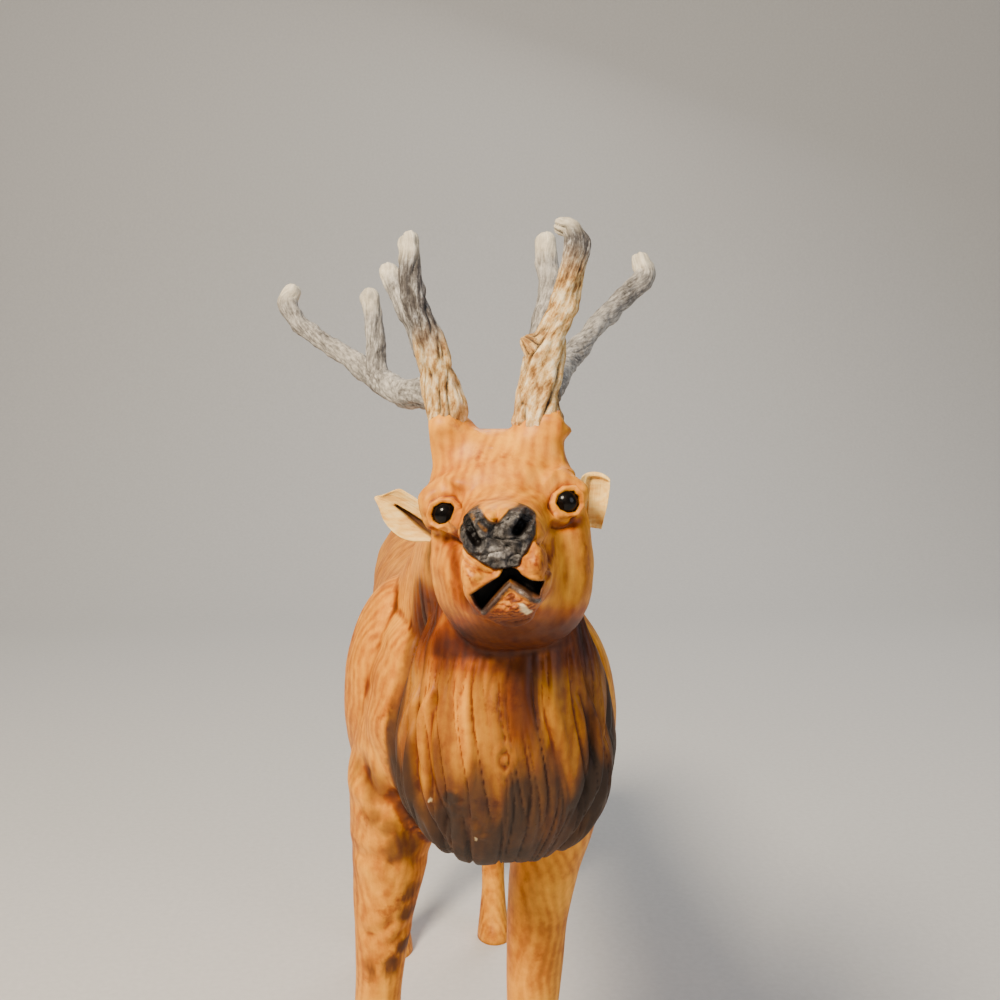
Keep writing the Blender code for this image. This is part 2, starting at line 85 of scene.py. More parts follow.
noiseTable = np.random.default_rng(11).random(8192)
latticeSteps = np.array([73856093, 19349663, 83492791])    # large primes, so that neighbours differ
seedStep = 6151


# smooth value noise: random heights on a lattice, blended with eased weights in all directions
def noise(points, size, seed=0):
    p = np.asarray(points, float) / np.asarray(size, float)
    cell = np.floor(p).astype(np.int64)
    f = p - cell
    f = f * f * (3 - 2 * f)
    total = np.zeros(len(p))
    for corner in range(2 ** p.shape[1]):
        bits = np.array([(corner >> k) & 1 for k in range(p.shape[1])])
        key = (cell + bits) @ latticeSteps[: p.shape[1]] + seed * seedStep
        weight = np.prod(np.where(bits, f, 1 - f), axis=1)
        total += weight * noiseTable[key & (len(noiseTable) - 1)]
    return total


# sharp-edged furrows: 1 along the lines where the noise crosses its middle, 0 away from them
def furrows(points, size, narrow, seed=0):
    n = noise(points, size, seed)
    return np.clip(1 - np.abs(n - 0.5) / narrow, 0, 1)


# distance from each point to a line of points, and how far along it the nearest place is, 0 to 1
def alongPath(points, path):
    path = np.asarray(path, float)
    best = np.full(len(points), 1e9)
    share = np.zeros(len(points))
    for k in range(len(path) - 1):
        a, d = path[k], path[k + 1] - path[k]
        t = np.clip(((points - a) @ d) / (d @ d), 0, 1)
        gap = np.linalg.norm(points - a - t[:, None] * d, axis=1)
        nearer = gap < best
        best = np.where(nearer, gap, best)
        share = np.where(nearer, (k + t) / (len(path) - 1), share)
    return best, share


# signed distance to a closed outline in the plane: negative inside
def outlineDistance(points, outline):
    outline = np.asarray(outline, float)
    closed = np.vstack([outline, outline[:1]])
    gap, _ = alongPath(points, closed)
    inside = np.zeros(len(points), bool)
    for a, b in zip(closed[:-1], closed[1:]):
        crosses = (a[1] > points[:, 1]) != (b[1] > points[:, 1])
        level = np.where(b[1] == a[1], 1.0, b[1] - a[1])
        x = a[0] + (points[:, 1] - a[1]) / level * (b[0] - a[0])
        inside ^= crosses & (points[:, 0] < x)
    return np.where(inside, -gap, gap)


# rows read from the smooth curve through a table's rows: cubic blends of four neighbouring rows
def curveRows(rows, count):
    rows = np.array(rows, float)
    padded = np.vstack([2 * rows[0] - rows[1], rows, 2 * rows[-1] - rows[-2]])
    at = np.linspace(0, len(rows) - 1, count)
    first = np.minimum(at.astype(int), len(rows) - 2)
    t = (at - first)[:, None]
    a, b, c, d = (padded[first + k] for k in range(4))
    return 0.5 * (2 * b + (c - a) * t + (2 * a - 5 * b + 4 * c - d) * t**2 + (3 * b - a - 3 * c + d) * t**3)


# a closed skin on a grid of rings: quads along and round, and a fan to a pole at each end
def closedGrid(rings):
    count, sides = rings.shape[:2]
    poles = np.stack([rings[0].mean(axis=0), rings[-1].mean(axis=0)])
    points = np.vstack([rings.reshape(-1, 3), poles])
    i, j = np.meshgrid(np.arange(count - 1), np.arange(sides), indexing="ij")
    a, b = i * sides + j, i * sides + (j + 1) % sides
    quads = np.stack([a, b, b + sides, a + sides], axis=-1).reshape(-1, 4)
    k = np.arange(sides)
    low = np.stack([(k + 1) % sides, k, np.full(sides, count * sides)], axis=-1)
    top = (count - 1) * sides
    high = np.stack([top + k, top + (k + 1) % sides, np.full(sides, count * sides + 1)], axis=-1)
    return points, quads.tolist() + low.tolist() + high.tolist()


# ovals carried along a table of rows, square to their path; a squareness under 1 fills the corners
def ovalForm(rows, count=60, sides=56, squareness=1.0, onHead=False):
    table = curveRows(rows, count)
    middle = table[:, :3]
    wide, high = np.maximum(table[:, 3:5], 0.4).T
    along = np.gradient(middle, axis=0)
    along /= np.linalg.norm(along, axis=1)[:, None]
    side = np.array([1.0, 0, 0]) - along[:, :1] * along
    side /= np.linalg.norm(side, axis=1)[:, None]
    up = np.cross(side, along)
    angle = np.linspace(0, 2 * pi, sides, endpoint=False)
    c = np.sign(np.cos(angle)) * np.abs(np.cos(angle)) ** squareness
    s = np.sign(np.sin(angle)) * np.abs(np.sin(angle)) ** squareness
    rings = (
        middle[:, None, :]
        + side[:, None, :] * wide[:, None, None] * c[None, :, None]
        + up[:, None, :] * high[:, None, None] * s[None, :, None]
    )
    points, faces = closedGrid(rings)
    return (fromHead(points) if onHead else points), faces


# a ball or egg: circles of latitude scaled to three half sizes
def eggForm(middle, sizes, rings=22, sides=32, onHead=False):
    lat = np.linspace(-pi / 2, pi / 2, rings + 2)[1:-1]
    angle = np.linspace(0, 2 * pi, sides, endpoint=False)
    ringSize, ringHeight = np.cos(lat)[:, None], np.sin(lat)[:, None]
    shape = np.stack([ringSize * np.cos(angle), ringSize * np.sin(angle), ringHeight + 0 * angle], axis=-1)
    points, faces = closedGrid(shape * np.array(sizes, float) + np.array(middle, float))
    return (fromHead(points) if onHead else points), faces


def joined(forms):
    points, faces, start = [], [], 0
    for p, f in forms:
        points.append(p)
        faces += [[start + k for k in face] for face in f]
        start += len(p)
    return np.vstack(points), faces


def newPiece(name, points, faces):
    mesh = bpy.data.meshes.new(name)
    mesh.from_pydata((points / 1000).tolist(), [], faces)
    mesh.update()
    piece = bpy.data.objects.new(name, mesh)
    bpy.context.scene.collection.objects.link(piece)
    return piece


def applied(piece):
    bpy.context.view_layer.update()
    mesh = bpy.data.meshes.new_from_object(piece.evaluated_get(bpy.context.evaluated_depsgraph_get()))
    old = piece.data
    piece.modifiers.clear()
    piece.data = mesh
    bpy.data.meshes.remove(old)
    return piece


def oneSkin(piece, voxel, passes):
    remesh = piece.modifiers.new("oneSkin", "REMESH")
    remesh.mode = "VOXEL"
    remesh.voxel_size = voxel / 1000
    soften = piece.modifiers.new("soften", "SMOOTH")
    soften.factor = 0.5
    soften.iterations = passes
    return applied(piece)


def pointsOf(piece):
    places = np.empty(len(piece.data.vertices) * 3)
    normals = np.empty(len(piece.data.vertices) * 3)
    piece.data.vertices.foreach_get("co", places)
    piece.data.vertices.foreach_get("normal", normals)
    return places.reshape(-1, 3) * 1000, normals.reshape(-1, 3)


def setPoints(piece, points):
    piece.data.vertices.foreach_set("co", (points / 1000).ravel())
    piece.data.update()


def setMark(piece, name, values):
    mark = piece.data.attributes.new(name, "FLOAT", "POINT")
    mark.data.foreach_set("value", np.clip(values, 0, 1).astype(np.float32))


# cut the faces near a set of chosen points finer
def refine(piece, chosen, cuts):
    shell = bmesh.new()
    shell.from_mesh(piece.data)
    shell.verts.ensure_lookup_table()
    picked = set(np.nonzero(chosen)[0].tolist())
    edges = [e for e in shell.edges if e.verts[0].index in picked and e.verts[1].index in picked]
    bmesh.ops.subdivide_edges(shell, edges=edges, cuts=cuts, use_grid_fill=True, smooth=0)
    shell.to_mesh(piece.data)
    shell.free()
    piece.data.update()
    return piece


# smooth the skin near points of some weight: half as strongly from 0.5, fully at 1
def softenNear(piece, weight, passes):
    group = piece.vertex_groups.new(name="near")
    for step in (0.5, 1.0):
        members = np.nonzero(weight >= step)[0].tolist()
        group.add(members, step, "REPLACE")
    soften = piece.modifiers.new("softenNear", "SMOOTH")
    soften.factor = 0.5
    soften.iterations = passes
    soften.vertex_group = "near"
    applied(piece)
    piece.vertex_groups.clear()


def thinTo(piece, triangles):
    count = sum(len(p.vertices) - 2 for p in piece.data.polygons)
    if count > triangles:
        thin = piece.modifiers.new("thin", "DECIMATE")
        thin.ratio = triangles / count
        applied(piece)
    print(piece.name, count, "->", sum(len(p.vertices) - 2 for p in piece.data.polygons), "triangles")


def finishPiece(piece, node, material):
    piece.data.transform(Matrix.Translation(Vector(rowShift / 1000)))
    piece.data.polygons.foreach_set("use_smooth", np.ones(len(piece.data.polygons), bool))
    piece.data.materials.clear()
    piece.data.materials.append(material)
    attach(piece, "root")
    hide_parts(node)


def linearColour(hexCode, alpha=1.0):
    rgb = [int(hexCode[k : k + 2], 16) / 255 for k in (0, 2, 4)]
    return [c / 12.92 if c <= 0.04045 else ((c + 0.055) / 1.055) ** 2.4 for c in rgb] + [alpha]


# a bead or a leaf keeps its grid: only its normals are turned to face outwards
def facedOutwards(piece):
    shell = bmesh.new()
    shell.from_mesh(piece.data)
    bmesh.ops.recalc_face_normals(shell, faces=shell.faces)
    shell.to_mesh(piece.data)
    shell.free()
    return piece


# one node with its settings, its colour stops and its inputs; an input is a value or another
# node's socket. It gives back one of the node's outputs, by number or by name.
def addNode(tree, kind, settings=None, out=0, **inputs):
    node = tree.nodes.new(kind)
    settings = dict(settings or {})
    stops = settings.pop("stops", [])
    for key, value in settings.items():
        setattr(node, key, value)
    if stops:
        elements = node.color_ramp.elements
        while len(elements) < len(stops):
            elements.new(0.5)
        for element, (place, colour) in zip(elements, stops):
            element.position = place
            element.color = linearColour(colour) if isinstance(colour, str) else [colour] * 3 + [1]
    for key, value in inputs.items():
        key = key.replace("_", " ")
        socket = node.inputs[int(key[2:])] if key.startswith("in") and key[2:].isdigit() else node.inputs[key]
        if isinstance(value, bpy.types.NodeSocket):
            tree.links.new(value, socket)
        else:
            socket.default_value = value
    return node.outputs[out]


def newMaterial(name):
    material = bpy.data.materials.new(name)
    material.use_nodes = True
    tree = material.node_tree
    return material, tree, tree.nodes["Principled BSDF"]


# the sum of several textures, each with its share
def blended(tree, *parts):
    total = 0.0
    settings = {"operation": "MULTIPLY_ADD"}
    for value, share in parts:
        total = addNode(tree, "ShaderNodeMath", settings, in0=value, in1=share, in2=total)
    return total


# colours laid over a first one in turn, each with its blend and how much of it shows
def layered(tree, colour, *coats):
    for blend, share, coat in coats:
        settings = {"data_type": "RGBA", "blend_type": blend}
        colour = addNode(tree, "ShaderNodeMix", settings, 2, in0=share, in6=colour, in7=coat)
    return colour


# the marks that a piece carries on its points, by name
def marksOf(tree, *names):
    return [
        addNode(tree, "ShaderNodeAttribute", {"attribute_name": name, "attribute_type": "GEOMETRY"}, "Fac")
        for name in names
    ]


woodLook = {
    "grain": [(0.36, "f9ac24"), (0.46, "e49518"), (0.56, "be6d0d"), (0.72, "733e08")],
    "grainShares": {"rings": 0.06, "streaks": 0.20, "clouds": 0.34, "blots": 0.16, "freckles": 0.24},
    "fibreShade": [(0.35, 0.72), (0.62, 1.0)],
    "blotShade": [(0.60, "ffffff"), (0.76, "a8683a")],
    "endGrain": [(0.25, "6a300a"), (0.45, "bb6a18"), (0.65, "e39a3a")],
    "stain": [(0.0, "ffffff"), (0.5, "8d8176"), (1.0, "221c17")],
    "stainVeil": "5b4536",
    # crease: darker hollows, with painted shade under the jaw and chin, beside the mouth, below the eyes and
    # in the mane's middle fold
    "crease": [(0.0, "ffffff"), (0.5, "b4906c"), (1.0, "4e301a")],
    # char and ash greys, lifted on the nose's lower lobe by its painted sheen
    "ashAndSheen": [(0.42, "131111"), (0.54, "3c3835"), (0.64, "6b6661"), (0.74, "b3aba1")],
    "freshChip": "ecd3a0",
    # hollow: black painted shade in the mouth, nostrils and eye sockets, and the burnt line round the nose
    # pad
    "hollow": "0a0605",
    # millimetres from wave to wave: growth rings, the fibre's slow bend, and the other patterns. The
    # real fibres are far finer than the render shows, so they are drawn this coarse.
    "ringSpacing": 2.6, "endRingSpacing": 1.2, "bend": 55.56, "fibres": 2.25, "streaks": 7.692,
    "clouds": 23.81, "freckles": 3.846, "blots": 10.526, "patches": 11.765, "ashes": 3.0303,
    "roughness": 0.50,
}


# Oiled juniper, knife-carved and sanded: orange heartwood with clouded colour, faint growth rings
# that the carved form cuts across, long darker fibres and a satin oil film. The hair of the mane is
# stained dark and the nose is burnt black, with a painted grey sheen on its lower lobe. The hollows are
# darker, and painted shade lies under the jaw and chin, beside the mouth, below the eyes, in the mane's
# middle fold, and black in the mouth, nostrils and eye sockets.
def oiledJuniper():
    material, tree, shader = newMaterial("oiledJuniper")
    look = woodLook
    place = addNode(tree, "ShaderNodeTexCoord", None, "Object")
    centred = addNode(tree, "ShaderNodeMapping", Vector=place, Location=(0.035, 0.12, 0))
    drift = addNode(
        tree, "ShaderNodeTexNoise", None, "Color", Vector=centred, Scale=1000 / look["bend"], Detail=2.0
    )
    push = addNode(tree, "ShaderNodeVectorMath", {"operation": "SCALE"}, in0=drift, Scale=0.022)
    bent = addNode(tree, "ShaderNodeVectorMath", {"operation": "ADD"}, in0=centred, in1=push)
    drawn = addNode(tree, "ShaderNodeMapping", Vector=bent, Scale=(1, 1, 0.07))
    # fibres, streaks and patches are drawn out up the wood
    texture = {
        name: addNode(
            tree, "ShaderNodeTexNoise", None, "Fac", Vector=where, Scale=1000 / look[name], Detail=detail,
            Roughness=rough,
        )
        for name, where, detail, rough in (
            ("fibres", drawn, 4.0, 0.65), ("streaks", drawn, 3.0, 0.6), ("clouds", place, 4.0, 0.6),
            ("freckles", place, 3.0, 0.6), ("blots", place, 5.0, 0.65), ("patches", drawn, 5.0, 0.6),
            ("ashes", place, 8.0, 0.72),
        )
    }
    # a wave's scale of 2 pi / 20 is one ring to the unit
    for name, direction, where, spacing, distortion, detail, detailScale in (
        ("rings", "Z", bent, look["ringSpacing"], 3.0, 2.0, 0.8),
        ("endRings", "SPHERICAL", place, look["endRingSpacing"], 7.0, 3.0, 2.0),
    ):
        texture[name] = addNode(
            tree, "ShaderNodeTexWave", {"wave_type": "RINGS", "rings_direction": direction}, "Fac",
            Vector=where, Scale=2 * pi / (20 * spacing / 1000),
            Distortion=distortion, Detail=detail, Detail_Scale=detailScale,
        )
    endMark, stainMark, creaseMark, noseSheenMark, charMark, paleMark, hollowMark = marksOf(
        tree, "endGrain", "stain", "crease", "ashAndSheen", "char", "pale", "hollow"
    )
    grain = blended(tree, *((texture[name], share) for name, share in look["grainShares"].items()))
    endTone = blended(tree, (texture["endRings"], 0.35), (texture["freckles"], 0.65))
    uneven = addNode(tree, "ShaderNodeMath", {"operation": "ADD"}, in0=texture["patches"], in1=0.46)
    soaked = addNode(
        tree, "ShaderNodeMath", {"operation": "MULTIPLY", "use_clamp": True}, in0=stainMark, in1=uneven
    )
    veil = addNode(tree, "ShaderNodeMath", {"operation": "MULTIPLY"}, in0=soaked, in1=0.24)
    # the painted sheen of the nose's lower lobe lifts the ash greys
    ashes = blended(tree, (texture["ashes"], 1.0), (noseSheenMark, 0.13))
    wood, fibreShade, blotShade, endWood, stained, creased, burnt = (
        addNode(tree, "ShaderNodeValToRGB", {"stops": look[stops]}, in0=value)
        for stops, value in (
            ("grain", grain), ("fibreShade", texture["fibres"]), ("blotShade", texture["blots"]),
            ("endGrain", endTone), ("stain", soaked), ("crease", creaseMark), ("ashAndSheen", ashes),
        )
    )
    # the creased coat carries painted shade as well as darker hollows; the hollow coat is black painted shade
    # in the mouth, nostrils and eye sockets
    wood = layered(
        tree, wood, ("MULTIPLY", 0.5, fibreShade), ("MULTIPLY", 1.0, blotShade), ("MIX", endMark, endWood),
        ("MULTIPLY", 1.0, stained), ("MIX", veil, linearColour(look["stainVeil"])),
        ("MULTIPLY", 1.0, creased), ("MIX", charMark, burnt),
        ("MIX", paleMark, linearColour(look["freshChip"])), ("MIX", hollowMark, linearColour(look["hollow"])),
    )
    tree.links.new(wood, shader.inputs["Base Color"])
    worn = blended(tree, (texture["clouds"], 0.20), (texture["freckles"], 0.14))
    rough = addNode(tree, "ShaderNodeMath", {"operation": "ADD"}, in0=worn, in1=look["roughness"] - 0.17)
    tree.links.new(rough, shader.inputs["Roughness"])
    cinders = addNode(tree, "ShaderNodeMath", {"operation": "MULTIPLY"}, in0=ashes, in1=charMark)
    relief = blended(tree, (texture["fibres"], 0.5), (texture["freckles"], 0.5), (cinders, 1.6))
    bump = addNode(tree, "ShaderNodeBump", Strength=0.45, Distance=0.0004, Height=relief)
    tree.links.new(bump, shader.inputs["Normal"])
    shader.inputs["Specular IOR Level"].default_value = 0.24
    return material


twigLook = {
    "grey": [(0.38, "4d4842"), (0.47, "8a857d"), (0.56, "b4aea3"), (0.66, "d8d2c4")],
    "sootAndShade": [(0.40, "241f1c"), (0.50, "5d5752"), (0.58, "a8a49c"), (0.66, "e2ddd2")],
    "honey": [(0.36, "4c2f12"), (0.44, "96682e"), (0.51, "cfa765"), (0.60, "f0deb4")],
    "cream": [(0.36, "a89f8b"), (0.50, "d6cbb0"), (0.62, "f0e8d0")],
    "crack": "1e1712",
    "fibres": 2.6,           # fibres to one furrow of the bark
    "flecks": 2.381,         # millimetres from wave to wave
    "patches": 9.091,
    "roughness": 0.80,
}


# Weathered juniper twig, bark peeled by the weather: silver-grey fibre with near-black cracks,
# honey-coloured where it was freshly broken near the head, darker on the stem's front and, as painted
# shade, on the side shoots near where they join it, and pale rounded ends.
def weatheredTwig():
    material, tree, shader = newMaterial("weatheredTwig")
    place = addNode(tree, "ShaderNodeTexCoord", None, "Object")
    branch = addNode(tree, "ShaderNodeAttribute", {"attribute_name": "branch"}, "Vector")
    fibre, fleck, patch = (
        addNode(
            tree, "ShaderNodeTexNoise", None, "Fac", Vector=where, Scale=scale, Detail=detail, Roughness=rough
        )
        for where, scale, detail, rough in (
            (branch, twigLook["fibres"], 5.0, 0.7), (place, 1000 / twigLook["flecks"], 5.0, 0.7),
            (place, 1000 / twigLook["patches"], 4.0, 0.6),
        )
    )
    tone = blended(tree, (fibre, 0.50), (fleck, 0.28), (patch, 0.22))
    grey, sootAndShade, honey, cream = (
        addNode(tree, "ShaderNodeValToRGB", {"stops": twigLook[stops]}, in0=tone)
        for stops in ("grey", "sootAndShade", "honey", "cream")
    )
    dark, gold, tip, crease = marksOf(tree, "dark", "gold", "tip", "crease")
    bark = layered(
        tree, grey, ("MIX", dark, sootAndShade), ("MIX", gold, honey), ("MIX", tip, cream),
        ("MIX", crease, linearColour(twigLook["crack"])),
    )
    tree.links.new(bark, shader.inputs["Base Color"])
    shader.inputs["Roughness"].default_value = twigLook["roughness"]
    relief = blended(tree, (fleck, 0.4), (fibre, 0.6))
    bump = addNode(tree, "ShaderNodeBump", Strength=0.7, Distance=0.0006, Height=relief)
    tree.links.new(bump, shader.inputs["Normal"])
    return material


boxwoodLook = {
    "tones": [(0.36, "d9a046"), (0.50, "f4ca70"), (0.64, "fde298")],
    "shadedCup": "54300f",
    "fibres": 1.111,         # millimetres from wave to wave, coarser than the real ones so that they show
    "clouds": 8.333,
    "roughness": 0.55,
}


# Shaved boxwood, thin and oiled: pale cream with faint straight fibres, with painted shade, warm brown, in
# the ear's slot and sunk floor.
def shavedBoxwood():
    material, tree, shader = newMaterial("shavedBoxwood")
    place = addNode(tree, "ShaderNodeTexCoord", None, "Object")
    drawn = addNode(tree, "ShaderNodeMapping", Vector=place, Scale=(0.25, 1, 1))
    fibre, tone = (
        addNode(tree, "ShaderNodeTexNoise", None, "Fac", Vector=where, Scale=1000 / size, Detail=detail)
        for where, size, detail in ((drawn, boxwoodLook["fibres"], 3.0), (place, boxwoodLook["clouds"], 2.0))
    )
    both = blended(tree, (fibre, 0.5), (tone, 0.5))
    pale = addNode(tree, "ShaderNodeValToRGB", {"stops": boxwoodLook["tones"]}, in0=both)
    (cupShade,) = marksOf(tree, "cupShade")
    shadedCup = layered(tree, pale, ("MIX", cupShade, linearColour(boxwoodLook["shadedCup"])))
    tree.links.new(shadedCup, shader.inputs["Base Color"])
    shader.inputs["Roughness"].default_value = boxwoodLook["roughness"]
    bump = addNode(tree, "ShaderNodeBump", Strength=0.25, Distance=0.0002, Height=fibre)
    tree.links.new(bump, shader.inputs["Normal"])
    return material


beadLook = {
    "black": [(0.3, "060505"), (0.8, "15110f")],
    "haze": 1.111,           # millimetres from wave to wave, coarser than real scratches so that it shows
    "gloss": 0.36,
}


# Black glass bead, polished: a hard dark ball with a faint haze of fine handling scratches.
def blackGlassBead():
    material, tree, shader = newMaterial("blackGlassBead")
    place = addNode(tree, "ShaderNodeTexCoord", None, "Object")
    haze = addNode(
        tree, "ShaderNodeTexNoise", None, "Fac", Vector=place, Scale=1000 / beadLook["haze"], Detail=3.0
    )
    black = addNode(tree, "ShaderNodeValToRGB", {"stops": beadLook["black"]}, in0=haze)
    tree.links.new(black, shader.inputs["Base Color"])
    gloss = addNode(tree, "ShaderNodeMath", {"operation": "MULTIPLY"}, in0=haze, in1=beadLook["gloss"])
    tree.links.new(gloss, shader.inputs["Roughness"])
    shader.inputs["Specular IOR Level"].default_value = 0.16
    return material


paperLook = {
    "pale": [(0.3, "c9c8c5"), (0.7, "cfcecb")],
    "tooth": 3.333,          # millimetres from wave to wave, coarser than real paper so that it shows
}


# Matt paper sweep: an even pale grey with hardly any sheen.
def paperSweep():
    material, tree, shader = newMaterial("paperSweep")
    place = addNode(tree, "ShaderNodeTexCoord", None, "Object")
    tooth = addNode(
        tree, "ShaderNodeTexNoise", None, "Fac", Vector=place, Scale=1000 / paperLook["tooth"], Detail=2.0
    )
    pale = addNode(tree, "ShaderNodeValToRGB", {"stops": paperLook["pale"]}, in0=tooth)
    tree.links.new(pale, shader.inputs["Base Color"])
    shader.inputs["Roughness"].default_value = 0.9
    return material


torsoRows = [
    (-2, 152, 198, 8, 10), (-2, 146, 196, 21, 21), (-2, 128, 192, 31, 31), (-1, 88, 191, 33, 32),
    (1, 40, 188, 34, 34), (3, -10, 186, 36, 38), (4, -55, 187, 38, 44), (4.5, -88, 189, 38, 45),
    (6, -112, 190, 35, 42), (8, -130, 190, 26, 32), (9, -141, 190, 12, 15),
]
neckRows = [
    (3, -66, 198, 28, 34), (4, -90, 213, 27, 34), (6, -112, 228, 24, 32), (7, -132, 242, 21, 28),
    (7.5, -147, 252, 17, 22),
]
maneRows = [
    (9, -143, 243, 15, 12), (9, -142, 226, 22, 18), (9, -140, 207, 29, 23), (9, -138, 189, 32, 25),
    (8.5, -135, 174, 29, 22), (8, -131, 163, 21, 15), (8, -130, 156, 8, 6),
]
skullRows = [
    (0, -25, 6, 9, 10), (0, -18, 2, 16.5, 19), (1.0, -9, -2, 20.6, 24), (0.9, 0, -2.4, 19.8, 23),
    (0, 8, -1, 15.4, 19), (0, 16, 0.6, 12.2, 15.6), (0, 25, 1.6, 10.9, 13.9), (0, 33, 2.4, 10.6, 13.2),
    (0, 38, 3.4, 9.2, 11.2),
]
browRows = [
    (0, -10, 8, 16.5, 13), (0, -10, 15, 18.4, 12.5), (-0.5, -10, 21, 18.3, 11), (-0.6, -10, 26, 17.9, 9.5),
    (-0.3, -10, 30, 16.9, 8),
]
legRows = {
    "frontRight": [
        (-19, -92, 196, 13, 26), (-22, -94, 172, 14, 24), (-23.5, -96, 152, 13, 19),
        (-24.5, -97, 138, 11.4, 15), (-26.6, -98, 123, 9.4, 12), (-28, -99, 108, 8.0, 10.3),
        (-28.6, -99, 92, 7.3, 9.2),
        (-28.8, -100, 74, 7.0, 8.0), (-28.8, -99, 50, 5.6, 6.4), (-28.8, -99, 26, 6.2, 7.2),
        (-28.8, -102, 14, 7.4, 9.0), (-28.8, -105, 2, 9.0, 12.0), (-28.8, -105, -6, 9.0, 12.0),
    ],
    "frontLeft": [
        (31, -92, 196, 13, 26), (31, -94, 172, 14, 24), (27.4, -96, 152, 12.4, 19),
        (24.2, -98, 138, 10.8, 15),
        (22.2, -99, 122, 9.6, 12), (21.6, -100, 108, 9.0, 10.5), (20.6, -100, 92, 8.2, 9.4),
        (20, -101, 74, 7.4, 8.2), (19.6, -100, 50, 5.8, 6.5), (19.6, -100, 26, 6.4, 7.2),
        (19.6, -103, 14, 7.4, 9.0), (19.6, -106, 2, 9.0, 12.0), (19.6, -106, -6, 9.0, 12.0),
    ],
    "hindRight": [
        (-18, 116, 196, 13, 26), (-22, 116, 174, 14.5, 28), (-23.5, 115, 152, 13.4, 24),
        (-25, 117, 132, 10.8, 17),
        (-26, 127, 112, 8.4, 12), (-26.6, 138, 95, 7.2, 10.3), (-26.8, 139, 80, 6.4, 8.4),
        (-27, 133, 54, 5.8, 6.6), (-27, 129, 28, 6.2, 7.0), (-27, 126, 14, 7.2, 8.8),
        (-27, 123, 2, 8.8, 11.6),
        (-27, 123, -6, 8.8, 11.6),
    ],
    "hindLeft": [
        (16, 122, 196, 13, 26), (19, 122, 174, 14.5, 28), (20.5, 121, 152, 13.4, 24),
        (21.6, 124, 132, 10.8, 17),
        (22.2, 135, 112, 8.4, 12), (22.8, 147, 95, 7.2, 10.3), (23, 148, 80, 6.4, 8.4),
        (23.4, 143, 54, 5.6, 6.6), (23.6, 139, 28, 5.9, 7.0), (23.6, 137, 14, 7.0, 8.8),
        (23.6, 135, 2, 8.6, 11.6), (23.6, 135, -6, 8.6, 11.6),
    ],
}
tailRows = [(-2, 142, 214, 5, 5), (-2, 152, 209, 5.5, 4.5), (-2, 157, 199, 5, 4), (-2, 158, 188, 2.5, 2.5)]
muscleEggs = [
    ((-19.2, -84, 191), (19.3, 27, 37)), ((28.6, -86, 185), (18.9, 27, 36)), ((-15, 122, 184), (19, 30, 36)),
    ((12, 124, 184), (19, 30, 36)), ((3, -66, 219), (16.5, 40, 17)),
]
headEggs = [
    ((-13.4, 0, 10.8), 7.2), ((13.5, 0, 10.8), 7.2), ((-12.2, -8.5, 28.6), 7.4), ((10.6, -9, 27.4), 7.4),
    ((-13.5, -4.6, 31.8), 4.8), ((13.5, -6.4, 29.6), 5.0), ((16.8, -8, 28.2), 2.4), ((-5.4, 31.5, -1.2), 6.2),
    ((5.6, 31.5, -1.0), 6.2), ((1.0, 29.5, -7.4), 6.2),
]
foreheadEgg = ((0, -1, 17.5), (13, 9.5, 7.5))

